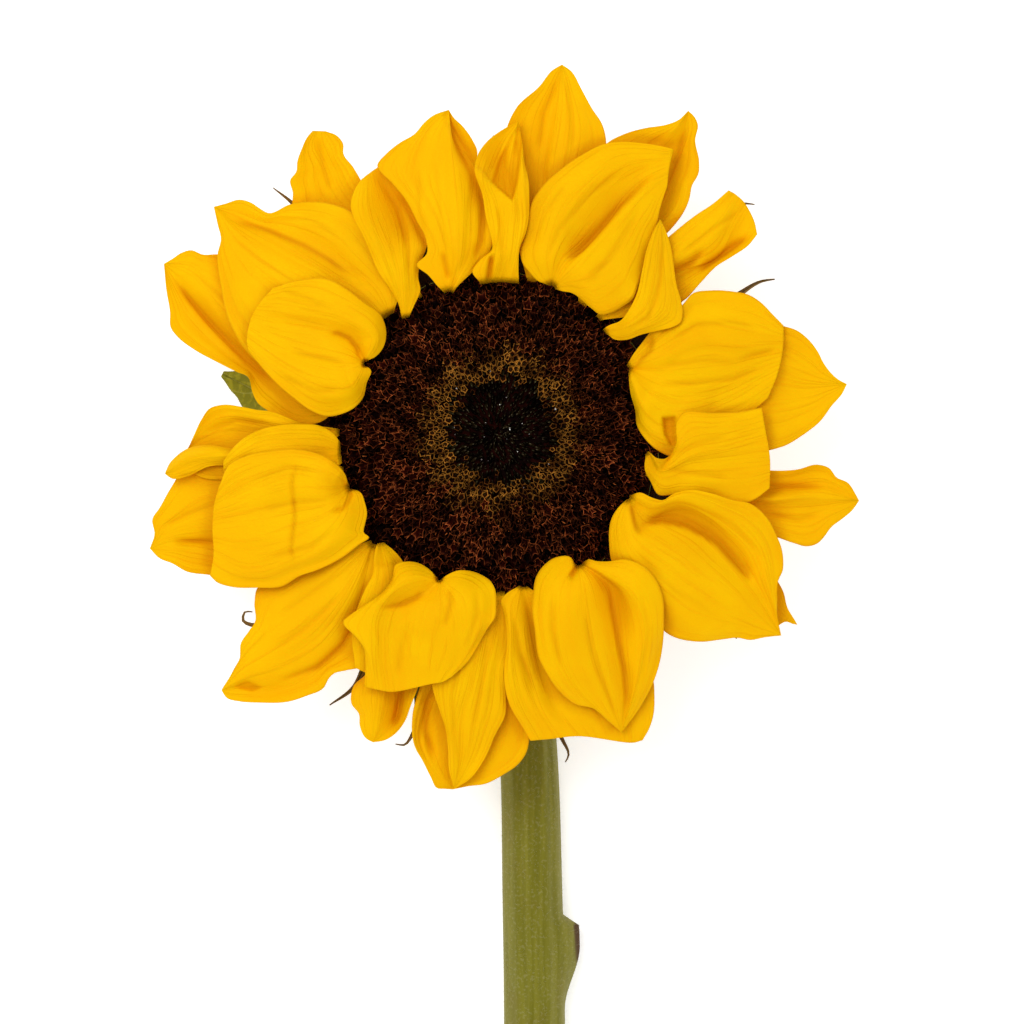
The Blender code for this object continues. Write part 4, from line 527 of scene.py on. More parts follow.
# ---- the stem ------------------------------------------------------------------------------------
STEM_RIDGES = [(11, 0.10, 0.6), (17, 0.06, 0.0), (29, 0.05, 1.0)]  # (count round the stem, height, phase)
CUT_RINGS = [(0.93, 0.05), (0.8, 0.35), (0.4, 0.7), (0.05, 0.8)]  # (share of the radius, how far sunk)
CUT_PITH = [0.6, 1.0, 1.0, 1.0]
HAIRS = 5200
HAIR_RADIUS = 0.018
HAIR_LENGTHS = (0.5, 1.5)
HAIR_SPREAD = 0.35
HAIR_LEAN = 0.25
HAIR_SHIFT = 0.8
HAIR_ROOT_DEPTH = 0.05
HAIR_CLEARANCES = (0.05, 0.3)  # least heights of a hair's tip and root over the surface
FIRST_HAIRY_RING = 8

# ---- colours, linear -----------------------------------------------------------------------------
PETAL_YELLOW = (0.875, 0.446, 0.0)
PETAL_LIGHT = (0.90, 0.490, 0.0)
PETAL_VEIN = (0.85, 0.33, 0.0)
PETAL_WARM_SHADE = (0.93, 0.40, 0.0)
PETAL_EDGE = (0.70, 0.30, 0.002)
PETAL_PAINTED_SHADE = (0.60, 0.215, 0.0)
STEM_DARK = (0.153, 0.143, 0.011)
STEM_LIGHT = (0.208, 0.192, 0.021)
STEM_BROWN = (0.17, 0.125, 0.022)
DOWN_AND_SHEEN_GREY = (0.37, 0.34, 0.165)
SCAR_BROWN = (0.09, 0.05, 0.025)
PITH_CREAM = (0.62, 0.60, 0.38)
LEAF_DARK = (0.195, 0.180, 0.006)
LEAF_LIGHT = (0.30, 0.265, 0.010)
LEAF_VEIN = (0.34, 0.32, 0.06)
BRACT_GREEN = (0.10, 0.15, 0.02)
BRACT_BROWN = (0.25, 0.150, 0.040)
BRACT_DARK = (0.035, 0.022, 0.010)
MAROON_BLACK = (0.020, 0.0018, 0.0007)
MAROON = (0.060, 0.0085, 0.0030)
RIM_BROWN = (0.300, 0.076, 0.019)
RIM_GOLD = (0.245, 0.090, 0.016)
BUD_BLACK = (0.014, 0.0085, 0.0030)
BUD_GREY = (0.080, 0.066, 0.038)
SHADE_AND_DRIED_BROWN = (0.014, 0.0045, 0.0016)
BEAD_HIGHLIGHT_WHITE = (0.85, 0.85, 0.80)
FLORET_GRAIN = ((0.6, 0.6, 0.6), (1.25, 1.2, 1.1))
FLORET_GLOOM = (0.24, 0.19, 0.19)
HAIR_TONES = ((0.34, 0.33, 0.17), (0.52, 0.50, 0.32))
PAPER_TONES = ((0.93, 0.93, 0.93), (0.95, 0.95, 0.95))
WHITE = (1.0, 1.0, 1.0, 1.0)

# ---- fine folds of the petals --------------------------------------------------------------------
# For each petal, its folds as (depth, half-width, line of places); a negative depth is a raised ridge.
CREASES = {
    "petal_n_middle": [
        (1.0, 0.8, [(-4.0, 31.5), (-2.6, 36), (-2.1, 42), (-3.2, 49)]),
        (0.44, 0.56, [(-10, 59.2), (-8, 56), (-6.5, 52.5), (-4.2, 48)]),
        (0.28, 0.5, [(-12, 34), (-14, 41), (-14, 50)]),
        (0.61, 0.5, [(-9.8, 34), (-9, 31), (-8.4, 28.4)]),
        (0.22, 0.5, [(-8.6, 31), (-10, 40), (-11, 52)]),
    ],
    "petal_nnw_middle": [
        (0.9, 0.7, [(-18.5, 46), (-14.5, 39), (-11.8, 33.5)]),
        (0.44, 0.56, [(-21, 47), (-18, 42), (-16, 34), (-15.8, 28)]),
    ],
    "petal_n_front": [
        (1.8, 0.5, [(-0.5, 33.4), (-0.9, 31), (-1.2, 28.6), (-1.3, 27.6)]),
        (0.33, 0.43, [(1.2, 33), (1.0, 39), (0.2, 43)]),
    ],
    "petal_ne_front": [
        (0.45, 0.5, [(29.4, 48.2), (23.4, 42.4), (18.6, 36.8), (14.6, 33.0), (12.4, 32.2)]),
        (0.39, 0.56, [(9, 31), (12, 38), (18, 45), (25, 50)]),
        (0.28, 0.5, [(7, 34), (9, 41), (14, 47.5)]),
        (0.44, 0.62, [(16.5, 27), (22, 34), (27, 42)]),
    ],
    "petal_ne_back": [(0.55, 0.74, [(35.5, 58), (34, 52), (31, 45), (28, 40)])],
    "petal_ne_middle": [
        (0.9, 0.8, [(48, 37.5), (41, 32.8), (37, 30)]),
        (0.9, 0.8, [(31, 29.5), (35.5, 31.5), (39, 34.5)]),
        (0.39, 0.5, [(46, 42), (40, 38), (34, 33)]),
    ],
    "petal_e_middle": [
        (0.45, 0.5, [(29, 9.4), (36, 9.6), (44, 10.4), (51, 13.2)]),
        (0.4, 0.5, [(44, 13.5), (48.5, 15.0), (52.4, 16.0)]),
        (0.44, 0.56, [(31.5, 17), (37, 20.4), (44, 21), (50, 19.6)]),
        (0.33, 0.5, [(30, 12.5), (38, 13.8), (46, 13.4)]),
    ],
    "petal_e_front": [
        (0.39, 0.56, [(30, -6), (36, -7), (44, -8)]),
        (0.33, 0.56, [(31, -4.4), (37, -1.6), (44, 0)]),
    ],
    "petal_ese_back": [
        (0.44, 0.56, [(48, -9.5), (54, -9.4), (62, -9.6)]),
        (0.39, 0.56, [(48, -14), (56, -15.5), (61, -14.5)]),
    ],
    "petal_se_front": [
        (0.33, 0.5, [(25, -21), (33, -28.5), (42, -34)]),
        (0.28, 0.5, [(37, -12.6), (44, -16.5), (50, -23)]),
    ],
    "petal_sse_front": [
        (0.5, 0.42, [(16.6, -30.9), (17.0, -35.0), (17.9, -39.5), (19.4, -44.3), (21.2, -49.0),
                     (23.2, -54.3)]),
        (1.3, 0.5, [(15.1, -22.6), (15.4, -24), (13.6, -26.6)]),
        (0.4, 0.45, [(20.8, -27.3), (21.4, -31.0), (22.3, -36.3), (23.6, -43.0), (24.2, -48.5),
                     (23.7, -54.6)]),
        (0.33, 0.5, [(10.5, -28), (10.5, -36), (12.5, -44)]),
        (0.33, 0.56, [(26.5, -28), (28.3, -36), (27, -46)]),
    ],
    "petal_s_right": [
        (0.5, 0.81, [(3.2, -32), (4.5, -40), (8, -49)]),
        (0.33, 0.62, [(27, -45), (24, -52), (20, -55.5)]),
    ],
    "petal_s_middle": [
        (0.39, 0.56, [(-1, -37), (-2.5, -46), (-4.2, -56)]),
        (0.28, 0.56, [(-6, -38), (-8, -48), (-7.6, -58)]),
    ],
    "petal_s_back": [(0.8, 0.8, [(-10, -45), (-12.5, -49), (-13, -55), (-11, -61)])],
    "petal_ssw_back": [(0.8, 0.5, [(-17.4, -46), (-17.8, -49), (-18.8, -54)])],
    "petal_ssw_front": [
        (0.5, 0.55, [(-12.8, -28.6), (-14.6, -30.1), (-16.8, -31.1), (-19.4, -31.6), (-22, -31.8)]),
        (0.5, 0.62, [(-8.6, -27.4), (-8.2, -31), (-9.5, -36)]),
        (0.39, 0.62, [(-3.5, -28), (-3.2, -33), (-5.5, -40)]),
        (0.28, 0.62, [(-16, -34), (-17.5, -40), (-18, -45)]),
    ],
    "petal_sw_middle": [
        (0.6, 0.6, [(-24.6, -32), (-28, -38.5), (-33, -42.8), (-41, -46)]),
        (0.33, 0.56, [(-28, -29), (-35, -35.5), (-42, -40.5)]),
        (0.33, 0.56, [(-27, -24), (-34, -29), (-41, -34)]),
    ],
    "petal_w_front": [
        (0.5, 0.43, [(-36.4, -4.5), (-37.4, -9), (-36.9, -15), (-37.6, -21), (-36.9, -25)]),
        (0.7, 0.4, [(-28.4, -7.3), (-26.6, -11.2), (-27.8, -13.4), (-30.4, -14.4)]),
        (0.33, 0.56, [(-29, -17), (-34, -20.6), (-42, -22.6)]),
        (0.33, 0.56, [(-29.5, -12), (-36, -12.2), (-44, -14)]),
        (0.28, 0.56, [(-31, -7), (-38, -6), (-45, -8.6)]),
    ],
    "petal_wsw_back": [
        (0.7, 0.6, [(-50, -20), (-54.5, -19.5), (-60, -19.6)]),
        (0.39, 0.56, [(-50, -12), (-57, -14.5), (-62, -17)]),
    ],
    "petal_w_curled": [(0.5, 0.5, [(-49, -6.8), (-55, -7.2), (-59.5, -7.6)])],
    "petal_w_middle": [(0.39, 0.5, [(-33, -3.5), (-40, -3.6), (-48, -4.5)])],
    "petal_w_back": [(0.39, 0.56, [(-40, 2), (-48, 2.8), (-54, 0.4)])],
    "petal_nw_front": [
        (0.6, 0.4, [(-31.0, 18.9), (-28.8, 18.7), (-26.9, 17.8), (-25.5, 16.2), (-24.5, 13.6)]),
        (0.39, 0.5, [(-38, 15.4), (-31, 14), (-27, 13.2)]),
        (0.39, 0.56, [(-28, 8.2), (-33, 8), (-40, 11.2)]),
        (0.28, 0.5, [(-28.5, 22.5), (-35, 25.4), (-41, 27.2)]),
    ],
    "petal_nw_middle": [
        (0.45, 0.5, [(-50.5, 40.8), (-41.5, 37.8), (-35.4, 35.2), (-30.6, 32.4), (-26, 29)]),
        (0.33, 0.56, [(-28, 36), (-34, 40), (-42, 40)]),
        (0.33, 0.62, [(-36, 27.5), (-43, 32), (-49, 37)]),
    ],
    "petal_wnw_back": [
        (0.6, 0.55, [(-60.4, 29.8), (-57.6, 26.0), (-53.6, 21.4), (-48.0, 16.0), (-40, 9)]),
        (0.39, 0.62, [(-57, 31), (-51, 26), (-45, 20)]),
    ],
    "petal_nnw_back": [(0.55, 0.74, [(-33.2, 56), (-32, 50), (-30.5, 45)])],
    "petal_n_back": [
        (0.44, 0.56, [(12.2, 67.5), (9, 60), (7.8, 52)]),
        (0.33, 0.56, [(13.2, 67), (14.2, 60), (14.5, 52)]),
    ],
    "petal_ene_front": [(0.5, 0.62, [(23.5, 18.6), (28.3, 21.6), (30.2, 28), (31, 36)])],
}

# Folds with one low side, as (drop, reach, line): the sheet drops on the left of the line, looking along
# it, and comes back up over the reach.
LEDGES = {
    "petal_se_front": [
        (1.9, 2.6, [(26.4, -18.1), (28.1, -16.6), (30.7, -16.0), (34.8, -16.9), (38.5, -18.6),
                    (41.1, -20.4), (44.0, -23.8), (47.5, -28.2)]),
        (1.2, 1.6, [(24.6, -12.4), (25.5, -16.3), (26.4, -18.9)]),
    ],
    "petal_sse_front": [
        (0.4, 1.1, [(20.4, -26.4), (21.4, -31.0), (22.3, -36.3), (23.6, -43.0), (24.2, -48.5),
                    (23.7, -54.6)]),
    ],
    "petal_ne_front": [
        (0.55, 1.5, [(12.4, 32.0), (14.6, 32.8), (18.6, 36.6), (23.4, 42.2), (29.4, 48.0)]),
    ],
    "petal_nw_middle": [
        (0.6, 1.8, [(-26.0, 29.4), (-30.6, 32.6), (-35.4, 35.4), (-41.5, 38.0), (-50.0, 40.8)]),
    ],
    "petal_wnw_back": [
        (0.85, 2.4, [(-60.4, 29.6), (-57.6, 25.8), (-53.6, 21.2), (-48.0, 15.8), (-40.0, 8.6)]),
    ],
    "petal_e_middle": [(0.9, 1.4, [(25.3, 12.1), (28.8, 15.5), (29.7, 18.9)])],
}

# The parts of a petal that lie behind one of its folds, as (drop, outline).
STEPS = {
    "petal_sw_middle": [
        (0.8, [(-49.2, -46.9), (-47.4, -45.5), (-45.8, -45.2), (-42.6, -46.8), (-45.0, -47.8)]),
    ],
    "petal_e_middle": [(1.9, [(30.6, 3.4), (33.6, 3.6), (33.6, -2.2), (32.2, -2.2), (31.0, -0.1)])],
    "petal_n_front": [
        (1.3, [(-6, 51), (-2.6, 48.2), (-1, 46.5), (3.3, 42.8), (4.2, 46), (4.8, 50), (5.3, 54), (6, 61),
               (-6, 61)]),
        (0.9, [(-0.9, 46.5), (3.3, 42.8), (4.2, 46), (4.8, 50), (5.3, 54), (4.8, 58.6), (2.5, 55.5),
               (0.5, 51)]),
    ],
    "petal_n_middle": [
        (0.7, [(-10, 59.2), (-8.4, 56.5), (-6.2, 52.6), (-4.3, 50), (-1, 50), (-1, 62), (-8, 62)]),
    ],
}

# Where the thin tip of a bract shows between the petals, the places that it passes.
BRACT_TIPS = {
    "bract_02": [(41.5, 38.8), (46.2, 43.3), (48.3, 43.1)],
    "bract_04": [(-0.4, 50.0), (-0.4, 56.0)],
    "bract_06": [(-34.5, 38.6), (-37.7, 43.2), (-41.4, 46.2)],
    "bract_09": [(-41.5, -31.5), (-45.0, -35.3), (-47.0, -34.4), (-46.6, -32.8), (-45.2, -32.8)],
    "bract_10": [(-14.2, -50.5), (-15.4, -55.5), (-17.0, -57.6), (-18.6, -57.4)],
    "bract_11": [(11.0, -52.0), (12.2, -56.0), (13.6, -59.7), (13.0, -60.8)],
    "bract_12": [(41.0, -34.4), (45.0, -37.8)],
    "bract_14": [(44.5, 25.8), (50.0, 29.0), (52.2, 29.3)],
    "bract_19": [(-24.0, -42.5), (-26.5, -47.0), (-31.0, -50.3)],
}

# ---- florets of the disc -------------------------------------------------------------------------
SPIRAL_CENTRE = (1.5, 0.9)
FLORETS_RADIUS = 29.7
FLORET_PROFILE = DISC_PROFILE + [(29.9, 36.7)]
# The room that one floret takes, in square millimetres, by its radius in the spiral.
FLORET_AREAS = [
    (0.0, 0.62),
    (8.0, 0.78),
    (BUDS_RADIUS, 0.86),
    (INNER_FLORETS_RADIUS, 1.6),
    (FLORETS_RADIUS, 2.9),
]
SPIRAL_STEPS = 3000
FLORET_JITTER = 0.17
FLORET_SIZES = (0.75, 1.3)
FLORET_TILT = 0.75  # how far a floret leans with the slope of the disc
FLORET_SWAY = 0.10
FLORET_SIDES = 15
FLORET_TEETH = 5
SLOPE_REACH = 0.4
TOOTH_REACH = 0.35
TOOTH_RISE = 0.3
GLOW_POWER = 2.2
CURL_SHARE = 0.4  # the share of florets with a curled stigma, for each of the two ways that it leans
CURL_LEANS = (-0.1, 0.4)
CURL_GLOW = (0.1, 1.2)
ZONE_SPREAD = 1.0
BED_DROP = 0.75
BED_CLEARANCE = 0.05
BED_LEAST = 0.3
BED_INSET = 0.3
GOLD_RING = (8.5, 10.5, 12.5, 18.5)  # radii between which the golden ring comes up and dies away
RING_GAIN = (1.3, 1.5, 1.15)
BUDS_EDGE = 10.0  # where, seen from above, the buds begin to open
INNER_FLORETS_EDGE = 15.0
# Beads of nectar on the buds, painted white as highlights.
BEADS = 22
BEAD_SIZES = (0.15, 0.36)
BEAD_RADII = (0.1, 1.15)  # as shares of the buds' radius
BEAD_TONES = (0.7, 1.0)

# Each form is a row of rings, (radius, height, tooth, colour), from its foot up and in again. Radii and
# heights are in half spacings.
BUD_FORM = [
    (0.50, -1.8, 0.0, BUD_BLACK),
    (0.80, -0.4, 0.2, BUD_BLACK),
    (0.66, 0.5, 0.5, BUD_BLACK),
    (0.34, 1.3, 0.6, BUD_BLACK),
    (0.14, 1.9, 0.3, BUD_GREY),
    (0.03, 2.3, 0.0, BUD_GREY),
]
OPENING_FORM = [
    (0.60, -1.8, 0.0, RIM_BROWN),
    (0.85, -0.3, 0.1, RIM_BROWN),
    (1.06, 0.40, 0.5, RIM_GOLD),
    (0.98, 0.68, 0.7, RIM_GOLD),
    (0.84, 0.60, 0.5, RIM_GOLD),
    (0.73, 0.25, 0.3, MAROON),
    (0.60, -0.10, 0.1, MAROON_BLACK),
    (0.40, -0.30, 0.0, MAROON_BLACK),
    (0.30, 0.10, 0.0, BUD_BLACK),
    (0.04, 0.35, 0.0, BUD_BLACK),
]
OPENED_FORM = [
    (0.45, -1.6, 0.0, MAROON_BLACK),
    (0.60, -0.3, 0.0, MAROON_BLACK),
    (0.84, 0.50, 0.4, MAROON_BLACK),
    (1.02, 0.86, 0.9, MAROON),
    (1.10, 0.98, 1.0, RIM_BROWN),
    (1.05, 1.02, 1.0, RIM_BROWN),
    (0.96, 0.94, 0.8, MAROON),
    (0.74, 0.60, 0.4, MAROON_BLACK),
    (0.55, 0.10, 0.1, MAROON_BLACK),
    (0.34, -0.30, 0.0, MAROON_BLACK),
    (0.24, 0.50, 0.0, MAROON_BLACK),
    (0.05, 0.70, 0.0, MAROON_BLACK),
]
STIGMA_FORM = [
    (0.05, 0.00, 0.0, MAROON_BLACK),
    (0.11, 0.50, 0.0, RIM_BROWN),
    (0.10, 1.30, 0.0, RIM_BROWN),
    (0.02, 1.75, 0.0, RIM_GOLD),
]
BEAD_FORM = [
    (0.10, 2.0, 0.0, BEAD_HIGHLIGHT_WHITE),
    (0.70, 2.3, 0.0, BEAD_HIGHLIGHT_WHITE),
    (0.80, 2.8, 0.0, BEAD_HIGHLIGHT_WHITE),
    (0.50, 3.3, 0.0, BEAD_HIGHLIGHT_WHITE),
    (0.10, 3.5, 0.0, BEAD_HIGHLIGHT_WHITE),
]

# ---- camera and light, in metres -----------------------------------------------------------------
CAMERA_HEIGHT = 1.2
FRAME_PLANE = 0.040
FRAME_WIDTH = 0.1894
FRAME_OFFSET = (0.0031, -0.0142)
SKY_STRENGTH = 0.85
KEY_POWER = 3.9
KEY_SIZE = 0.5
KEY_OFFSET = (-0.30, 0.24)
KEY_HEIGHT = 1.05
KEY_AIM_HEIGHT = 0.04
FLOOR_GLOW = 0.44
FLOOR_SIZE = 4.0
FLOOR_DROP = 0.0002
SENSOR_WIDTH = 36.0

head_low, head_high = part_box("receptacle")
HEAD = np.array([
    (head_low.x + head_high.x) / 2,
    (head_low.y + head_high.y) / 2,
    head_high.z - CUP_TOP * MM,
])


# ---- shapes --------------------------------------------------------------------------------------
def smoothstep(value):
    value = np.clip(value, 0.0, 1.0)
    return value * value * (3.0 - 2.0 * value)


def faded(share, rise, fall):
    """0 at both ends of a line and 1 between them, with a smooth way up and down."""
    return smoothstep(share / rise) * smoothstep((1.0 - share) / fall)


def bell(offset, width):
    """1 in the middle, falling away smoothly on both sides."""
    return np.exp(-((offset / width) ** 2))


def waving(along, turns, random):
    """A sine wave of so many turns, which starts anywhere in its turn."""
    return np.sin(2 * math.pi * (turns * along + random.random()))


def hermite(knots, points, slopes, at):
    """Cubic Hermite values at the given places, with the points along the first axis."""
    place = np.clip(np.searchsorted(knots, at, side="right") - 1, 0, len(knots) - 2)
    width = (knots[place + 1] - knots[place])[:, None]
    share = (at - knots[place])[:, None] / width
    cube = share**3
    square = share**2
    return (
        (2 * cube - 3 * square + 1) * points[place]
        + (cube - 2 * square + share) * width * slopes[place]
        + (3 * square - 2 * cube) * points[place + 1]
        + (cube - square) * width * slopes[place + 1]
    )


def smooth_through(points, at):
    """Points at the given shares, from 0 to 1, of the length of a smooth curve through the points."""
    points = np.array(points, float)
    steps = np.linalg.norm(np.diff(points, axis=0), axis=1)
    knots = np.concatenate([[0.0], np.cumsum(steps)])
    knots /= knots[-1]
    return hermite(knots, points, np.gradient(points, knots, axis=0), at)


def height_at(profile, radius):
    """Height of a smooth profile of (radius, height) points at each radius."""
    knots, heights = (np.array(side, float) for side in zip(*profile))
    flat = np.clip(np.ravel(radius), knots[0], knots[-1])
    slopes = np.gradient(heights, knots)[:, None]
    return hermite(knots, heights[:, None], slopes, flat)[:, 0].reshape(np.shape(radius))


def loft_through(ribs, rows, columns):
    """A grid of points, rows by columns, on the smooth surface through ribs that are lists of points."""
    along = np.linspace(0.0, 1.0, rows)
    curves = np.array([smooth_through(rib, along) for rib in ribs])
    flat = curves.reshape(len(ribs), -1)
    knots = np.linspace(0.0, 1.0, len(ribs))
    across = hermite(knots, flat, np.gradient(flat, knots, axis=0), np.linspace(0.0, 1.0, columns))
    return across.reshape(columns, rows, 3).transpose(1, 0, 2)


def line_distance(points, line):
    """For each point, its distance from a line through (x, y) places, and its share of the way along it."""
    line = np.array(line, float)
    lengths = np.linalg.norm(np.diff(line, axis=0), axis=1)
    before = np.concatenate([[0.0], np.cumsum(lengths)])
    nearest = np.full(points.shape[:-1], np.inf)
    share = np.zeros(points.shape[:-1])
    for start, end, length, done in zip(line, line[1:], lengths, before):
        run = np.clip(((points - start) @ (end - start)) / length**2, 0.0, 1.0)
        distance = np.linalg.norm(points - start - run[..., None] * (end - start), axis=-1)
        closer = distance < nearest
        nearest = np.where(closer, distance, nearest)
        share = np.where(closer, (done + run * length) / before[-1], share)
    return nearest, share


def creased(grid, creases):
    """How far each crease, (depth, half-width, line), lowers the sheet; a negative depth makes a ridge."""
    total = np.zeros(grid.shape[:2])
    for depth, width, line in creases:
        distance, share = line_distance(grid[..., :2], line)
        total -= depth * bell(distance, width) * faded(share, CREASE_FADE, CREASE_FADE)
    return total


def ledged(grid, ledges):
    """How far each ledge, (drop, reach, line), lowers the sheet on the left of its line."""
    total = np.zeros(grid.shape[:2])
    for drop, reach, line in ledges:
        distance, share = line_distance(grid[..., :2], line)
        low_side = smoothstep(leftward(grid, line) / STEP_WIDTH) * np.exp(-distance / reach)
        total -= drop * low_side * faded(share, LEDGE_FADE, LEDGE_FADE)
    return total


def leftward(grid, line):
    """How far each point lies to the left of the line: below 0 on its right."""
    nearest = np.full(grid.shape[:2], np.inf)
    signed = np.zeros(grid.shape[:2])
    for start, end in zip(line, line[1:]):
        distance, _ = line_distance(grid[..., :2], [start, end])
        along = np.subtract(end, start)
        offset = grid[..., :2] - start
        side = np.sign(along[0] * offset[..., 1] - along[1] * offset[..., 0])
        signed = np.where(distance < nearest, distance * side, signed)
        nearest = np.minimum(distance, nearest)
    return signed


def stepped(grid, steps):
    """How far each step, (drop, outline), lowers the part of the sheet inside its outline."""
    x, y = grid[..., 0], grid[..., 1]
    total = np.zeros(grid.shape[:2])
    for drop, corners in steps:
        outline = corners + corners[:1]
        inside = np.zeros(grid.shape[:2], bool)
        for (x0, y0), (x1, y1) in zip(outline, outline[1:]):
            if y0 != y1:
                inside ^= ((y0 > y) != (y1 > y)) & (x < x0 + (y - y0) * (x1 - x0) / (y1 - y0))
        distance, _ = line_distance(grid[..., :2], outline)
        total -= drop * smoothstep(distance / STEP_WIDTH) * inside
    return total


def spread(values, reach, blend):
    """Blends each value with those up to reach rows and columns away, by np.max or np.mean."""
    for axis in (0, 1):
        padding = [(reach[side], reach[side]) if side == axis else (0, 0) for side in (0, 1)]
        padded = np.pad(values, padding, mode="edge")
        size = values.shape[axis]
        shifts = range(2 * reach[axis] + 1)
        shifted = [np.take(padded, range(shift, shift + size), axis) for shift in shifts]
        values = blend(shifted, axis=0)
    return values


def fold_line_shade(name, grid):
    """Painted shade along the lines of the petal's folds, and on the low side of its ledges."""
    total = np.zeros(grid.shape[:2])
    for depth, _, line in CREASES.get(name, []):
        distance, share = line_distance(grid[..., :2], line)
        dark = bell(distance, SHADE_LINE_WIDTH)
        total += min(depth, CREASE_SHADE_DARKEST) * dark * faded(share, SHADE_LINE_FADE, SHADE_LINE_FADE)
    for drop, reach, line in LEDGES.get(name, []):
        distance, share = line_distance(grid[..., :2], line)
        low_side = smoothstep(0.5 + leftward(grid, line) / (2.0 * SHADE_LINE_WIDTH))
        dark = bell(distance, SHADE_LINE_WIDTH) + LOW_SIDE_SHADE * np.exp(-distance / reach) * low_side
        total += min(drop, LEDGE_SHADE_DARKEST) * dark * faded(share, LEDGE_SHADE_LINE_FADE, SHADE_LINE_FADE)
    return total


def petal_grid(name, ribs, layer, random):
    """The petal's upper face before it is laid on the others."""
    with_heights = [[point if len(point) == 3 else (*point, 0.0) for point in rib] for rib in ribs]
    grid = loft_through(with_heights, PETAL_ROWS, PETAL_COLUMNS)
    along = np.linspace(0.0, 1.0, PETAL_ROWS)[:, None]
    across = np.linspace(-1.0, 1.0, PETAL_COLUMNS)[None, :]
    radius = np.hypot(grid[..., 0], grid[..., 1])
    arch = height_at(PETAL_CREST, radius) - LAYER_DROP[layer] + grid[..., 2]
    arch += creased(grid, CREASES.get(name, [])) + ledged(grid, LEDGES.get(name, []))
    arch += stepped(grid, STEPS.get(name, []))
    body = faded(along, BODY_RISE, BODY_FALL)
    drift = across + PLEAT_DRIFT * waving(along, PLEAT_TURNS, random)
    width = np.linalg.norm(grid[:, -1, :2] - grid[:, 0, :2], axis=1)[:, None]
    for pleats in PLEATS:
        spacing = width / pleats
        height = PLEAT_HEIGHT * random.normal() * spacing
        height = height * smoothstep((spacing - PLEAT_LEAST) / PLEAT_LEAST)
        arch = arch + height * body * np.cos(math.pi * pleats * drift + 2 * math.pi * random.random())
    rim = np.abs(across) ** RIM_SHARPNESS * body
    rise = sum(waving(along, turns, random) for turns in RIM_TURNS) - RIM_SAG
    arch = arch + RIM_WAVE * rim * rise * np.where(across < 0, -1.0, 1.0)
    climb = smoothstep(along / CLAW_SHARE)
    grid[..., 2] = CLAW_HEIGHT + (arch - CLAW_HEIGHT) * climb
    return grid


class Pile:
    """The height of what already lies in place, over a grid of cells, so that a new sheet lies on it."""

    def __init__(self):
        cells = int(2 * PILE_HALF_WIDTH / PILE_CELL)
        centres = (np.arange(cells) + 0.5) * PILE_CELL - PILE_HALF_WIDTH
        radius = np.hypot(*np.meshgrid(centres, centres, indexing="ij"))
        self.top = np.full((cells, cells), NOTHING_THERE)
        self.top[radius < CUP_RIM_RADIUS + PILE_CELL] = CUP_TOP
        disc = radius < DISC_RADIUS + PILE_CELL
        self.top[disc] = height_at(DISC_PROFILE, radius)[disc]

    def samples(self, grid):
        """Points all over the sheet, closer than the cells, with the place of each in the sheet's grid."""
        steps_down = np.linalg.norm(np.diff(grid, axis=0), axis=2)
        steps_right = np.linalg.norm(np.diff(grid, axis=1), axis=2)
        parts = math.ceil(max(steps_down.max(), steps_right.max()) / (SAMPLE_SHARE * PILE_CELL))
        rows = np.linspace(0, grid.shape[0] - 1, (grid.shape[0] - 1) * parts + 1)
        columns = np.linspace(0, grid.shape[1] - 1, (grid.shape[1] - 1) * parts + 1)
        row = np.minimum(rows.astype(int), grid.shape[0] - 2)
        column = np.minimum(columns.astype(int), grid.shape[1] - 2)
        down = (rows - row)[:, None, None]
        right = (columns - column)[None, :, None]
        near = grid[row][:, column] * (1 - down) + grid[row + 1][:, column] * down
        far = grid[row][:, column + 1] * (1 - down) + grid[row + 1][:, column + 1] * down
        return near * (1 - right) + far * right, row, column

    def cells_of(self, points):
        cell = ((points[..., :2] + PILE_HALF_WIDTH) / PILE_CELL).astype(int)
        return np.clip(cell, 1, self.top.shape[0] - 2)

    def lay(self, grid, thickness):
        """Raises the sheet just clear of what lies under it, with its bends kept smooth, and adds it."""
        points, row, column = self.samples(grid)
        cell = self.cells_of(points)
        need = self.top[cell[..., 0], cell[..., 1]] + GAP + thickness - points[..., 2]
        lift = np.zeros(grid.shape[:2])
        rows, columns = np.meshgrid(row, column, indexing="ij")
        for down in (0, 1):
            for right in (0, 1):
                np.maximum.at(lift, (rows + down, columns + right), need)
        least = np.maximum(lift, 0.0)
        grid[..., 2] += spread(spread(least, DRAPE_REACH, np.max), DRAPE_REACH, np.mean)
        self.add(grid)

    def shade(self, grid):
        """Painted shade of each point of the sheet, from 0 to 1: deeper in a fold or beside something
        higher.
        """
        total = np.zeros(grid.shape[:2])
        for distance in SHADE_DISTANCES:
            for turn in 2 * math.pi * np.arange(SHADE_TURNS) / SHADE_TURNS:
                beside = grid + (distance * math.cos(turn), distance * math.sin(turn), 0.0)
                cell = self.cells_of(beside)
                rise = self.top[cell[..., 0], cell[..., 1]] - grid[..., 2] - SHADE_CLEARANCE
                total += np.clip(rise / distance, 0.0, SHADE_STEEPEST)
        beside_higher = total / (len(SHADE_DISTANCES) * SHADE_TURNS)
        hollow = spread(grid[..., 2], HOLLOW_REACH, np.mean) - grid[..., 2]
        beyond_claw = smoothstep(np.linspace(0.0, 1.0, len(grid)) / UNSHADED_SHARE)[:, None]
        dark = smoothstep((beside_higher - SHADE_FROM) / SHADE_RANGE)
        dark = dark + HOLLOW_SHADE * smoothstep(hollow / HOLLOW_DEPTH)
        return np.clip(dark, 0.0, 1.0) * beyond_claw

    def add(self, grid):
        points, _, _ = self.samples(grid)
        cell = self.cells_of(points)
        for across in (-1, 0, 1):
            for along in (-1, 0, 1):
                np.maximum.at(self.top, (cell[..., 0] + across, cell[..., 1] + along), points[..., 2])


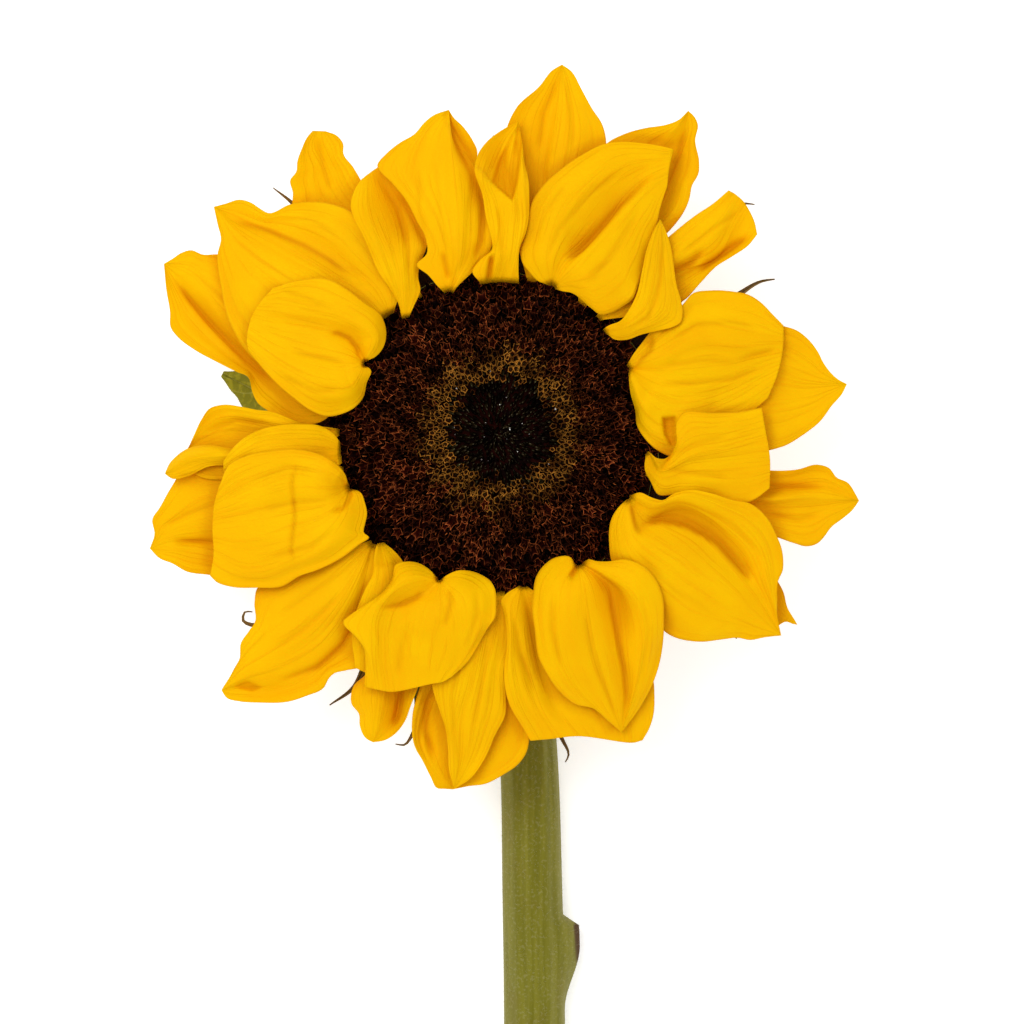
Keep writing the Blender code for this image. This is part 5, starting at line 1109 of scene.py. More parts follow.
# ---- objects -------------------------------------------------------------------------------------
def add_mesh(name, points, faces, attributes=()):
    """An object from points in millimetres round the head, with vectors stored on its vertices."""
    mesh = bpy.data.meshes.new(name)
    mesh.from_pydata((np.asarray(points, float) * MM + HEAD).tolist(), [], faces)
    mesh.shade_smooth()
    for label, values in attributes:
        layer = mesh.attributes.new(label, "FLOAT_VECTOR", "POINT")
        layer.data.foreach_set("vector", np.asarray(values, np.float32).ravel())
    piece = bpy.data.objects.new(name, mesh)
    bpy.context.scene.collection.objects.link(piece)
    return piece


def dress(piece, material, slot, *nodes):
    """Gives the piece its material and its body, and hides the model's nodes that it stands for. The slot is
    not used.
    """
    piece.data.materials.append(material)
    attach(piece, BODY)
    if nodes:
        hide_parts(*nodes)
    return piece


def sheet_faces(rows, columns):
    """Faces of a closed sheet: an upper grid, a lower grid and the rim between them."""
    upper = np.arange(rows * columns).reshape(rows, columns).tolist()
    lower = (np.arange(rows * columns) + rows * columns).reshape(rows, columns).tolist()
    faces = []
    for i in range(rows - 1):
        for j in range(columns - 1):
            faces.append((upper[i][j], upper[i][j + 1], upper[i + 1][j + 1], upper[i + 1][j]))
            faces.append((lower[i][j], lower[i + 1][j], lower[i + 1][j + 1], lower[i][j + 1]))
    for i in range(rows - 1):
        faces.append((upper[i][0], upper[i + 1][0], lower[i + 1][0], lower[i][0]))
        faces.append((upper[i][-1], lower[i][-1], lower[i + 1][-1], upper[i + 1][-1]))
    for j in range(columns - 1):
        faces.append((upper[0][j], lower[0][j], lower[0][j + 1], upper[0][j + 1]))
        faces.append((upper[-1][j], upper[-1][j + 1], lower[-1][j + 1], lower[-1][j]))
    return faces


def add_sheet(name, grid, thickness, tone, painted_shade=0.0):
    """A closed thin sheet whose vertices know their share across, their share along, the piece's tone and
    the shade painted on them."""
    rows, columns, _ = grid.shape
    along, across = np.meshgrid(np.linspace(0, 1, rows), np.linspace(0, 1, columns), indexing="ij")
    lie = np.stack([across, along, np.full_like(along, tone)], axis=-1).reshape(-1, 3)
    upper = grid.reshape(-1, 3)
    points = np.concatenate([upper, upper - (0, 0, thickness)])
    # The painted shade of each vertex, the same on both faces.
    depth = np.repeat(np.broadcast_to(painted_shade, along.shape).reshape(-1, 1), 3, axis=1)
    stored = [("lie", np.concatenate([lie, lie])), ("painted_shade", np.concatenate([depth, depth]))]
    return add_mesh(name, points, sheet_faces(rows, columns), stored)


# ---- materials -----------------------------------------------------------------------------------
class Finish:
    """A node material that starts from a Principled shader."""

    def __init__(self, name, roughness, specular=0.3):
        self.material = bpy.data.materials.new(name)
        self.material.use_nodes = True
        self.nodes = self.material.node_tree.nodes
        self.links = self.material.node_tree.links
        self.shader = self.nodes["Principled BSDF"]
        self.shader.inputs["Roughness"].default_value = roughness
        self.shader.inputs["Specular IOR Level"].default_value = specular

    def link(self, source, node, socket):
        if isinstance(source, (int, float)):
            node.inputs[socket].default_value = source
        elif isinstance(source, tuple):
            node.inputs[socket].default_value = (*source, 1.0)[: len(node.inputs[socket].default_value)]
        else:
            self.links.new(source, node.inputs[socket])

    def stored(self, label):
        node = self.nodes.new("ShaderNodeAttribute")
        node.attribute_name = label
        return node.outputs["Vector"]

    def upward(self, low=0.3, high=0.8):
        """1 where the face looks up and 0 where it looks sideways or down."""
        _, _, z = self.parts(self.nodes.new("ShaderNodeTexCoord").outputs["Normal"])
        return self.ramp(z, low, high)

    def place(self):
        return self.nodes.new("ShaderNodeTexCoord").outputs["Object"]

    def parts(self, vector):
        node = self.nodes.new("ShaderNodeSeparateXYZ")
        self.link(vector, node, 0)
        return node.outputs

    def joined(self, x, y, z):
        node = self.nodes.new("ShaderNodeCombineXYZ")
        for socket, value in enumerate((x, y, z)):
            self.link(value, node, socket)
        return node.outputs[0]

    def stretched(self, vector, scales):
        """A vector with each of its parts times its own scale."""
        return self.joined(*(self.maths("MULTIPLY", *pair) for pair in zip(self.parts(vector), scales)))

    def from_half(self, value):
        return self.maths("ABSOLUTE", self.maths("SUBTRACT", value, 0.5))

    def maths(self, operation, first, second=0.0, third=0.0):
        node = self.nodes.new("ShaderNodeMath")
        node.operation = operation
        for socket, value in enumerate((first, second, third)):
            self.link(value, node, socket)
        return node.outputs[0]

    def noise(self, vector, scale, detail=3.0, roughness=0.5):
        node = self.nodes.new("ShaderNodeTexNoise")
        self.link(vector, node, "Vector")
        node.inputs["Scale"].default_value = scale
        node.inputs["Detail"].default_value = detail
        node.inputs["Roughness"].default_value = roughness
        return node.outputs[0]

    def ramp(self, value, low, high):
        """0 at low and 1 at high, with a smooth way between."""
        node = self.nodes.new("ShaderNodeMapRange")
        node.interpolation_type = "SMOOTHSTEP"
        self.link(value, node, "Value")
        node.inputs["From Min"].default_value = low
        node.inputs["From Max"].default_value = high
        return node.outputs["Result"]

    def mix(self, share, first, second, blend="MIX"):
        node = self.nodes.new("ShaderNodeMix")
        node.data_type = "RGBA"
        node.blend_type = blend
        self.link(share, node, 0)
        self.link(first, node, 6)
        self.link(second, node, 7)
        return node.outputs[2]

    def wash(self, colour, share, strength, over):
        """Lays a second colour over the first, as strongly as share times strength."""
        return self.mix(self.maths("MULTIPLY", share, strength), colour, over)

    def bump(self, height, distance, strength):
        node = self.nodes.new("ShaderNodeBump")
        node.inputs["Strength"].default_value = strength
        node.inputs["Distance"].default_value = distance
        self.link(height, node, "Height")
        self.links.new(node.outputs[0], self.shader.inputs["Normal"])

    def finish(self, colour):
        self.link(colour, self.shader, "Base Color")
        return self.material


def petal_material():
    """Saturated yellow with fine parallel veins, warmer along the very edge; painted shade warms the claw
    and folds.
    """
    finish = Finish("petal_finish", 0.65, 0.03)
    lie = finish.stored("lie")
    across, along, _ = finish.parts(lie)
    lines = finish.stretched(lie, (38.0, 2.2, 40.0))
    veins = finish.ramp(finish.noise(lines, 1.0, 2.0), 0.50, 0.72)
    broad = finish.ramp(finish.noise(lines, 0.23, 2.0), 0.42, 0.75)
    patches = finish.noise(finish.place(), 90.0, 3.0)
    colour = finish.mix(finish.ramp(patches, 0.35, 0.7), PETAL_YELLOW, PETAL_LIGHT)
    colour = finish.wash(colour, veins, 0.30, PETAL_VEIN)
    colour = finish.wash(colour, broad, 0.22, PETAL_VEIN)
    # Painted shade: warmer and more orange towards the claw, near the disc.
    colour = finish.wash(colour, finish.ramp(along, 0.34, 0.0), 0.30, PETAL_WARM_SHADE)
    # Painted shade: darker and more orange in folds, beside higher sheets and along fold lines.
    painted_shade, _, _ = finish.parts(finish.stored("painted_shade"))
    colour = finish.wash(colour, painted_shade, 0.50, PETAL_PAINTED_SHADE)
    # Painted shade where the claw dips steeply down to the disc.
    colour = finish.wash(colour, finish.ramp(along, 0.06, 0.0), 0.45, PETAL_PAINTED_SHADE)
    colour = finish.wash(colour, finish.ramp(finish.from_half(across), 0.485, 0.5), 0.5, PETAL_EDGE)
    grain = finish.noise(finish.place(), 2600.0, 2.0)
    height = finish.maths("ADD", veins, finish.maths("MULTIPLY", grain, 0.5))
    finish.bump(height, 0.00012, 0.6)
    finish.shader.inputs["Subsurface Weight"].default_value = 0.12
    finish.shader.inputs["Subsurface Radius"].default_value = (1.0, 0.45, 0.05)
    finish.shader.inputs["Subsurface Scale"].default_value = 0.0012
    return finish.finish(colour)


def floret_material(name, roughness=0.6):
    """Takes its colour from the florets themselves, broken up by a fine grain."""
    finish = Finish(name, roughness, 0.02)
    grain = finish.noise(finish.place(), 1500.0, 3.0)
    broken = finish.noise(finish.place(), 520.0, 2.0)
    colour = finish.mix(finish.ramp(grain, 0.3, 0.7), *FLORET_GRAIN)
    colour = finish.mix(finish.ramp(broken, 0.40, 0.56), FLORET_GLOOM, colour)
    colour = finish.mix(1.0, finish.stored("tint"), colour, "MULTIPLY")
    finish.bump(grain, 0.00015, 0.5)
    return finish.finish(colour)


def bract_material():
    """Green with long nerves, drying to brown over the last part of the tip; dark near the base with painted
    shade and dried bits.
    """
    finish = Finish("bract_finish", 0.7, 0.15)
    lie = finish.stored("lie")
    _, along, _ = finish.parts(lie)
    nerves = finish.noise(finish.stretched(lie, (16.0, 2.0, 30.0)), 1.0, 2.0)
    colour = finish.mix(finish.ramp(nerves, 0.35, 0.7), BRACT_GREEN, STEM_LIGHT)
    dry = finish.ramp(finish.maths("ADD", along, finish.maths("MULTIPLY", nerves, 0.12)), 0.66, 0.84)
    dried = finish.mix(finish.ramp(nerves, 0.42, 0.58), BRACT_DARK, BRACT_BROWN)
    colour = finish.mix(dry, colour, dried)
    # Near the base, faces that look up or sideways go dark brown: painted shade under the petals, with dried
    # floret bits.
    shade_and_dried_bits = finish.maths("MULTIPLY", finish.upward(-0.6, -0.2), finish.ramp(along, 0.50, 0.22))
    colour = finish.mix(shade_and_dried_bits, colour, SHADE_AND_DRIED_BROWN)
    finish.bump(nerves, 0.00025, 0.6)
    return finish.finish(colour)


def leaf_material():
    """Green blade with paler veins along the middle and out to the teeth."""
    finish = Finish("leaf_finish", 0.6, 0.1)
    across, along, _ = finish.parts(finish.stored("lie"))
    off_middle = finish.from_half(across)
    middle = finish.ramp(off_middle, 0.030, 0.008)
    slant = finish.maths("SUBTRACT", along, finish.maths("MULTIPLY", off_middle, 2 * LEAF_VEIN_SLANT))
    wave = finish.maths("FRACT", finish.maths("MULTIPLY", slant, LEAF_SIDE_VEINS))
    side = finish.ramp(finish.from_half(wave), 0.06, 0.02)
    net = finish.ramp(finish.noise(finish.place(), 700.0, 4.0), 0.45, 0.65)
    colour = finish.mix(net, LEAF_DARK, LEAF_LIGHT)
    veins = finish.maths("MAXIMUM", middle, finish.maths("MULTIPLY", side, 0.6))
    colour = finish.wash(colour, veins, 0.7, LEAF_VEIN)
    finish.bump(net, 0.0002, 0.5)
    return finish.finish(colour)


def cup_material():
    """The downy green underside of the head, with painted shade on its upward faces."""
    finish = Finish("receptacle_finish", 0.8, 0.1)
    grain = finish.noise(finish.place(), 800.0, 4.0)
    colour = finish.mix(finish.ramp(grain, 0.3, 0.7), BRACT_GREEN, STEM_LIGHT)
    # Painted shade: upward faces, under the disc, go dark brown.
    colour = finish.mix(finish.upward(0.05, 0.35), colour, SHADE_AND_DRIED_BROWN)
    finish.bump(grain, 0.0003, 0.7)
    return finish.finish(colour)


def stem_material():
    """Olive and streaked, specked with down and greyer where it turns away (a painted sheen), with brown
    scars and a pale cut end.
    """
    finish = Finish("stem_finish", 0.7, 0.05)
    streaks = finish.noise(finish.stretched(finish.place(), (1.0, 0.05, 1.0)), 900.0, 4.0)
    mottling = finish.noise(finish.place(), 160.0, 4.0)
    speckles = finish.noise(finish.place(), 1800.0, 2.0)
    colour = finish.mix(finish.ramp(streaks, 0.3, 0.7), STEM_DARK, STEM_LIGHT)
    colour = finish.wash(colour, finish.ramp(mottling, 0.5, 0.8), 0.4, STEM_BROWN)
    colour = finish.wash(colour, finish.ramp(speckles, 0.5, 0.75), 0.3, DOWN_AND_SHEEN_GREY)
    # Painted sheen: the down greyer where the stem turns away from view.
    painted_sheen = finish.nodes.new("ShaderNodeLayerWeight")
    painted_sheen.inputs["Blend"].default_value = 0.3
    colour = finish.wash(colour, painted_sheen.outputs["Facing"], 0.55, DOWN_AND_SHEEN_GREY)
    pith, scar, _ = finish.parts(finish.stored("marks"))
    ragged = finish.maths("MULTIPLY_ADD", mottling, 0.25, scar)
    colour = finish.mix(finish.ramp(ragged, 0.80, 0.98), colour, SCAR_BROWN)
    colour = finish.mix(finish.ramp(pith, 0.5, 0.9), colour, PITH_CREAM)
    finish.bump(streaks, 0.0003, 0.7)
    return finish.finish(colour)


def hair_material():
    """Pale stiff hairs, some greyer than others."""
    finish = Finish("hair_finish", 0.5, 0.3)
    tone = finish.noise(finish.place(), 300.0, 2.0)
    return finish.finish(finish.mix(finish.ramp(tone, 0.3, 0.7), *HAIR_TONES))


# ---- pieces --------------------------------------------------------------------------------------
def make_petals(pile):
    material = petal_material()
    random = np.random.default_rng(7)
    laid = []
    for name, layer, ribs in PETALS:
        grid = petal_grid(name, ribs, layer, random)
        pile.lay(grid, PETAL_THICKNESS)
        laid.append((name, grid))
    for name, grid in laid:
        # Painted shade, from the pile around each petal and from its fold lines.
        painted_shade = np.clip(pile.shade(grid) + fold_line_shade(name, grid), 0.0, PAINTED_SHADE_DARKEST)
        piece = add_sheet(name + "_fine", grid, PETAL_THICKNESS, random.random(), painted_shade)
        dress(piece, material, "petal", name)


def ribbon(spine, widths, share):
    """A grid across a spine, with its x and y filled in: rows square to the spine, as wide as it says."""
    heading = np.gradient(spine[:, :2], axis=0)
    heading /= np.maximum(np.linalg.norm(heading, axis=1), TINY)[:, None]
    grid = np.zeros((len(spine), len(share), 3))
    grid[..., 0] = spine[:, None, 0] + heading[:, None, 1] * widths[:, None] * share
    grid[..., 1] = spine[:, None, 1] - heading[:, None, 0] * widths[:, None] * share
    return grid


def bract_grid(direction, tip_radius, lie, tip_line, random):
    """A bract: broad at its base on the cup, drawn out to a long thin tip, its edges turned up a little."""
    base_radius, base_height, mid_share, mid_height, tip_height, half_width = BRACT_SHAPES[lie]
    mid_radius = base_radius + (tip_radius - base_radius) * mid_share
    turn = math.radians(direction)
    outward = np.array([math.cos(turn), math.sin(turn)])
    spine = [
        (*(base_radius * outward), base_height),
        (*((base_radius + mid_radius) / 2 * outward), (base_height + mid_height) / 2 + BRACT_BULGE),
        (*(mid_radius * outward), mid_height),
    ]
    if tip_line:
        spine += [(x, y, tip_height + BRACT_TIP_RISE * step) for step, (x, y) in enumerate(tip_line)]
    else:
        spine += [
            (*((mid_radius + tip_radius) / 2 * outward), (mid_height + tip_height) / 2),
            (*(tip_radius * outward), tip_height),
        ]
    along = np.linspace(0.0, 1.0, BRACT_ROWS)
    spine = smooth_through(spine, along)
    widths = np.interp(along, BRACT_SHARES, BRACT_WIDTHS[lie]) * half_width
    share = np.linspace(-1.0, 1.0, BRACT_COLUMNS)
    grid = ribbon(spine, widths, share)
    # The rows near the base bend round the cup.
    bend = (1.0 - smoothstep((along - BRACT_BEND) / BRACT_BEND))[:, None]
    radius = np.hypot(grid[..., 0], grid[..., 1])
    round_cup = np.hypot(spine[:, 0], spine[:, 1])[:, None] / radius
    grid[..., :2] *= (1.0 + (round_cup - 1.0) * bend)[..., None]
    curl = BRACT_CUPPING * share**2 + BRACT_OVERLAP[lie] * share
    curl = np.minimum(widths, half_width)[:, None] * curl
    twist = BRACT_TWIST * waving(along, BRACT_TURNS, random)[:, None] * share
    grooves = sum(depth * bell(np.abs(share) - place, width) for place, width, depth in BRACT_NERVES)
    grid[..., 2] = spine[:, None, 2] + curl + widths[:, None] * (twist - grooves)
    return grid


def make_bracts(pile):
    material = bract_material()
    random = np.random.default_rng(11)
    for name, direction, tip_radius, lie in BRACTS:
        grid = bract_grid(direction, tip_radius, lie, BRACT_TIPS.get(name), random)
        grid[..., 2] = np.maximum(grid[..., 2], BRACT_THICKNESS + BRACT_CLEARANCE)
        pile.add(grid)
        piece = add_sheet(name + "_fine", grid, BRACT_THICKNESS, random.random())
        dress(piece, material, "bract", name)


def make_leaf():
    along = np.linspace(0.0, 1.0, LEAF_ROWS)
    spine = smooth_through(LEAF_SPINE, along)
    shares = np.linspace(0.0, 1.0, len(LEAF_HALF_WIDTHS))
    teeth = 1.0 + LEAF_TOOTH * np.sin(2 * math.pi * LEAF_TEETH * along)
    widths = smooth_through(list(zip(shares, LEAF_HALF_WIDTHS)), along)[:, 1] * teeth
    share = np.linspace(-1.0, 1.0, LEAF_COLUMNS)
    grid = ribbon(spine, widths, share)
    slant = along[:, None] - LEAF_VEIN_SLANT * np.abs(share)
    side_veins = smoothstep(np.cos(2 * math.pi * LEAF_SIDE_VEINS * slant))
    side_veins = side_veins * (1 - bell(share, LEAF_MIDRIB_CLEAR))
    midrib_depth, midrib_width = LEAF_MIDRIB
    relief = midrib_depth * bell(share, midrib_width) + LEAF_SIDE_VEIN_DEPTH * side_veins
    grid[..., 2] = spine[:, None, 2] - LEAF_DROOP * widths[:, None] * share**2 - relief
    grid[..., 2] = np.maximum(grid[..., 2], LEAF_THICKNESS + LEAF_CLEARANCE)
    dress(add_sheet("leaf_upper_fine", grid, LEAF_THICKNESS, 0.5), leaf_material(), "leaf", "leaf_upper")


def turned(outline, steps):
    """Points and faces of a solid turned about +Z from a closed outline of (radius, height) points that
    never meets the axis."""
    angles = 2 * math.pi * np.arange(steps) / steps
    points = []
    for radius, height in outline:
        points += [(radius * math.cos(angle), radius * math.sin(angle), height) for angle in angles]
    rows = len(outline)
    faces = []
    for row in range(rows):
        after = (row + 1) % rows
        for step in range(steps):
            turn = (step + 1) % steps
            corners = [row * steps + step, after * steps + step, after * steps + turn, row * steps + turn]
            faces.append(corners)
    return np.array(points), faces


def make_receptacle():
    profile = smooth_through(CUP_PROFILE, np.linspace(0, 1, CUP_ROWS))
    outline = [(AXIS_RADIUS, CUP_TOP), *map(tuple, profile), (AXIS_RADIUS, CUP_PROFILE[-1][1])]
    points, faces = turned(outline, CUP_SIDES)
    angle = np.arctan2(points[:, 1], points[:, 0])
    radius = np.hypot(points[:, 0], points[:, 1])
    ribs = CUP_RIB_HEIGHT * np.sin(CUP_RIBS * angle)
    ribs = ribs * smoothstep((points[:, 2] - CUP_RIBS_FROM) / CUP_RIBS_RISE)
    points[:, :2] *= (1 + np.where(radius > CUP_PLAIN_RADIUS, ribs, 0) / radius)[:, None]
    piece = add_mesh("receptacle_fine", points, faces)
    dress(piece, cup_material(), "receptacle", "receptacle")


def floret_sites():
    """(x, y, radius in the spiral, spacing) of each floret: one every golden angle, wider apart outside."""
    radii = np.linspace(0.0, FLORETS_RADIUS, SPIRAL_STEPS)
    area = np.interp(radii, *zip(*FLORET_AREAS))
    count = np.concatenate([[0.0], np.cumsum((2 * math.pi * radii / area)[1:] * np.diff(radii))])
    numbers = np.arange(0.5, count[-1])
    radius = np.interp(numbers, count, radii)
    angle = numbers * GOLDEN_ANGLE
    lean = 1.0 - (radius / radii[-1]) ** 2
    x = radius * np.cos(angle) + SPIRAL_CENTRE[0] * lean
    y = radius * np.sin(angle) + SPIRAL_CENTRE[1] * lean
    return x, y, radius, np.sqrt(np.interp(radius, *zip(*FLORET_AREAS)))


def template(profile, sides, teeth, twist):
    """One floret: rings of points from rows of (radius, height, tooth, tint), closed at both ends."""
    points, tints = [], []
    angles = 2 * math.pi * np.arange(sides) / sides
    for index, (radius, height, tooth, tint) in enumerate(profile):
        wave = np.cos(teeth * angles)
        reach = radius * (1 + TOOTH_REACH * tooth * wave)
        rise = height + TOOTH_RISE * tooth * wave
        turn = angles + twist * index
        points.append(np.stack([reach * np.cos(turn), reach * np.sin(turn), rise], axis=-1))
        tints.append(np.tile(tint, (sides, 1)))
    faces = []
    for ring in range(len(profile) - 1):
        for side in range(sides):
            after = (side + 1) % sides
            faces.append((ring * sides + side, ring * sides + after, (ring + 1) * sides + after,
                          (ring + 1) * sides + side))
    faces.append(tuple(reversed(range(sides))))
    faces.append(tuple((len(profile) - 1) * sides + side for side in range(sides)))
    return np.concatenate(points), np.concatenate(tints), faces


def stamp(forms, x, y, spacing, random, stretch, lean, shade):
    """Copies of one floret form at each place, turned, leaned and sized: their points, tints and faces."""
    points, tints, faces = forms
    count = len(x)
    x = x + spacing * random.normal(0, FLORET_JITTER, count)
    y = y + spacing * random.normal(0, FLORET_JITTER, count)
    turn = random.uniform(0, 2 * math.pi, count)
    size = 0.5 * spacing * random.uniform(*FLORET_SIZES, count)
    cos, sin = np.cos(turn)[:, None], np.sin(turn)[:, None]
    local = np.empty((count, len(points), 3))
    local[..., 0] = (points[:, 0] * cos - points[:, 1] * sin) * size[:, None] * stretch[0]
    local[..., 1] = (points[:, 0] * sin + points[:, 1] * cos) * size[:, None] * stretch[1]
    local[..., 2] = points[:, 2] * size[:, None]
    radius = np.maximum(np.hypot(x, y), 0.3)
    inside = height_at(FLORET_PROFILE, np.maximum(radius - SLOPE_REACH, 0))
    outside = height_at(FLORET_PROFILE, radius + SLOPE_REACH)
    slope = (outside - inside) / (2 * SLOPE_REACH)
    tilt = -np.arctan(slope) * FLORET_TILT + lean + random.normal(0, FLORET_SWAY, count)
    sway = random.normal(0, FLORET_SWAY, count)
    outward = np.stack([x / radius, y / radius], axis=-1)
    along = local[..., 0] * np.cos(tilt)[:, None] + local[..., 2] * np.sin(tilt)[:, None]
    up = -local[..., 0] * np.sin(tilt)[:, None] + local[..., 2] * np.cos(tilt)[:, None]
    sideways = local[..., 1] + local[..., 2] * sway[:, None]
    made = np.empty_like(local)
    made[..., 0] = x[:, None] + along * outward[:, :1] - sideways * outward[:, 1:]
    made[..., 1] = y[:, None] + along * outward[:, 1:] + sideways * outward[:, :1]
    made[..., 2] = height_at(FLORET_PROFILE, radius)[:, None] + up
    offsets = np.arange(count)[:, None] * len(points)
    all_faces = []
    for face in faces:
        all_faces += (offsets + np.array(face)).tolist()
    return made.reshape(-1, 3), (tints * shade[:, None, :]).reshape(-1, 3), all_faces


def gathered(stamps):
    """Several stamped sets as one mesh's points, tints and faces."""
    points, tints, faces, start = [], [], [], 0
    for some_points, some_tints, some_faces in stamps:
        points.append(some_points)
        tints.append(some_tints)
        faces += [[corner + start for corner in face] for face in some_faces]
        start += len(some_points)
    return np.concatenate(points), np.concatenate(tints), faces


def bed(inner, outer, tint):
    """The part of the disc that its florets stand in, sunk a little under their mouths."""
    inner = max(inner, AXIS_RADIUS)
    radii = np.linspace(inner, outer, BED_ROWS)
    floor = CUP_TOP + BED_CLEARANCE
    tops = np.maximum(height_at(FLORET_PROFILE, radii) - BED_DROP, floor + BED_LEAST)
    points, faces = turned([*zip(radii, tops), (outer, floor), (inner, floor)], BED_SIDES)
    return points, np.tile(tint, (len(points), 1)), faces


def floret_shade(radius, low, high, random):
    """The brightness of each floret: by chance, and more golden in the ring where they are opening."""
    from_here, full, until, to_here = GOLD_RING
    ring = smoothstep((radius - from_here) / (full - from_here))
    ring = ring * (1.0 - smoothstep((radius - until) / (to_here - until)))
    glow = low + (high - low) * random.random(len(radius)) ** GLOW_POWER
    return glow[:, None] * (1.0 + ring[:, None] * (np.array(RING_GAIN) - 1.0))


def make_disc():
    random = np.random.default_rng(3)
    x, y, radius, spacing = floret_sites()
    bud = template(BUD_FORM, 7, 1, 0.12)
    opening = template(OPENING_FORM, FLORET_SIDES, FLORET_TEETH, 0.0)
    opened = template(OPENED_FORM, FLORET_SIDES, FLORET_TEETH, 0.0)
    curl = template(STIGMA_FORM, 4, 2, 0.0)
    edge = radius + random.normal(0, ZONE_SPREAD, len(radius))
    is_bud = edge < BUDS_EDGE
    is_opened = edge >= INNER_FLORETS_EDGE
    bud_bed = (0.0, BUDS_RADIUS)
    inner_bed = (BUDS_RADIUS, INNER_FLORETS_RADIUS)
    outer_bed = (INNER_FLORETS_RADIUS, FLORETS_RADIUS - BED_INSET)
    # Each zone: name, its florets, form, stretch, lean, least and most glow, bed, and the tint of its curls.
    zones = [
        ("disc_buds", is_bud, bud, (1.5, 0.75), -0.3, 0.25, 1.6, bud_bed, np.divide(BUD_GREY, RIM_BROWN)),
        ("disc_inner_florets", ~(is_bud | is_opened), opening, (1.25, 0.95), 0.0, 0.55, 1.45, inner_bed,
         None),
        ("disc_outer_florets", is_opened, opened, (1.5, 1.0), 0.10, 0.15, 1.7, outer_bed, 1.0),
    ]
    for name, chosen, form, stretch, lean, low, high, (inner, outer), curl_tint in zones:
        sets = [bed(inner, outer, MAROON_BLACK)]
        shade = floret_shade(radius[chosen], low, high, random)
        sets.append(stamp(form, x[chosen], y[chosen], spacing[chosen], random, stretch, lean, shade))
        for curl_lean in () if curl_tint is None else CURL_LEANS:
            some = chosen & (random.random(len(x)) < CURL_SHARE)
            shade = floret_shade(radius[some], CURL_GLOW[0] * high, CURL_GLOW[1] * high, random) * curl_tint
            sets.append(stamp(curl, x[some], y[some], spacing[some], random, (1.0, 1.0), curl_lean, shade))
        points, tints, faces = gathered(sets)
        piece = add_mesh(name + "_fine", points, faces, [("tint", tints)])
        dress(piece, floret_material(name + "_finish"), name, name)


def make_nectar_glints():
    """Tiny beads of nectar on the buds, painted white as their highlights."""
    random = np.random.default_rng(5)
    bead = template(BEAD_FORM, 6, 1, 0.0)
    angle = random.uniform(0, 2 * math.pi, BEADS)
    radius = BUDS_RADIUS * random.uniform(*BEAD_RADII, BEADS)
    x = radius * np.cos(angle) + SPIRAL_CENTRE[0]
    y = radius * np.sin(angle) + SPIRAL_CENTRE[1]
    shade = np.repeat(random.uniform(*BEAD_TONES, (BEADS, 1)), 3, axis=1)
    size = random.uniform(*BEAD_SIZES, BEADS)
    points, tints, faces = stamp(bead, x, y, size, random, (1.0, 1.0), 0.0, shade)
    piece = add_mesh("nectar_glint_beads", points, faces, [("tint", tints)])
    dress(piece, floret_material("nectar_glint_finish", 0.15), "disc_buds")


def stem_radius(place, angle, base):
    """The stem's radius at a place (x, y, z) and an angle round it, with the stripped leaves' scars."""
    radius = base
    for y, direction, height in LEAF_SCARS:
        above = place[1] - y
        along = smoothstep((SCAR_TOP - above) / SCAR_SHOULDER) * smoothstep((above - SCAR_FOOT) / SCAR_TAPER)
        turn = (angle - math.radians(direction) + math.pi) % (2 * math.pi) - math.pi
        radius = radius + height * along * bell(turn, SCAR_HALF_ANGLE)
    return radius


def make_stem():
    random = np.random.default_rng(13)
    along = np.linspace(0.0, 1.0, STEM_RINGS) ** STEM_RING_CROWDING
    path = smooth_through(STEM_PATH, along)
    radii = height_at([(-y, r) for (_, y, _), r in zip(STEM_PATH, STEM_RADII)], -path[:, 1])
    heading = np.gradient(path, axis=0)
    heading /= np.linalg.norm(heading, axis=1)[:, None]
    side = np.array([1.0, 0.0, 0.0])
    across = side - heading * (heading @ side)[:, None]
    across /= np.linalg.norm(across, axis=1)[:, None]
    up = np.cross(across, heading)
    angles = 2 * math.pi * np.arange(STEM_SIDES) / STEM_SIDES
    ridges = sum(height * np.sin(count * angles + phase) for count, height, phase in STEM_RIDGES)
    points, scars = [], []
    for centre, base, sideways, upward in zip(path, radii, across, up):
        reach = np.array([stem_radius(centre, angle, base) for angle in angles])
        scars.append(reach - base)
        reach = reach + ridges
        outward = np.cos(angles)[:, None] * sideways + np.sin(angles)[:, None] * upward
        ring = centre + reach[:, None] * outward
        ring[:, 2] = np.clip(ring[:, 2], 0.0, NECK_TOP)
        points.append(ring)
    # The cut end is a slightly hollow face, in rings round its middle.
    last = points[-1]
    middle = last.mean(axis=0)
    for share, sink in CUT_RINGS:
        points.append(middle + (last - middle) * share + np.array([0.0, sink, 0.0]))
    rings = len(points)
    corners = np.arange(rings * STEM_SIDES).reshape(rings, STEM_SIDES).tolist()
    faces = []
    for ring, after_ring in zip(corners, corners[1:]):
        for step in range(STEM_SIDES):
            after = (step + 1) % STEM_SIDES
            faces.append((ring[step], ring[after], after_ring[after], after_ring[step]))
    faces.append(corners[0])
    faces.append(corners[-1][::-1])
    pith = np.concatenate([np.zeros(STEM_RINGS * STEM_SIDES), np.repeat(CUT_PITH, STEM_SIDES)])
    highest = max(height for _, _, height in LEAF_SCARS)
    scar = np.concatenate([np.concatenate(scars) / highest, np.zeros(len(CUT_RINGS) * STEM_SIDES)])
    marks = np.stack([pith, scar, np.zeros_like(pith)], axis=-1)
    piece = add_mesh("stem_fine", np.concatenate(points), faces, [("marks", marks)])
    dress(piece, stem_material(), "stem", "stem")
    make_hairs(path, radii, across, up, random)


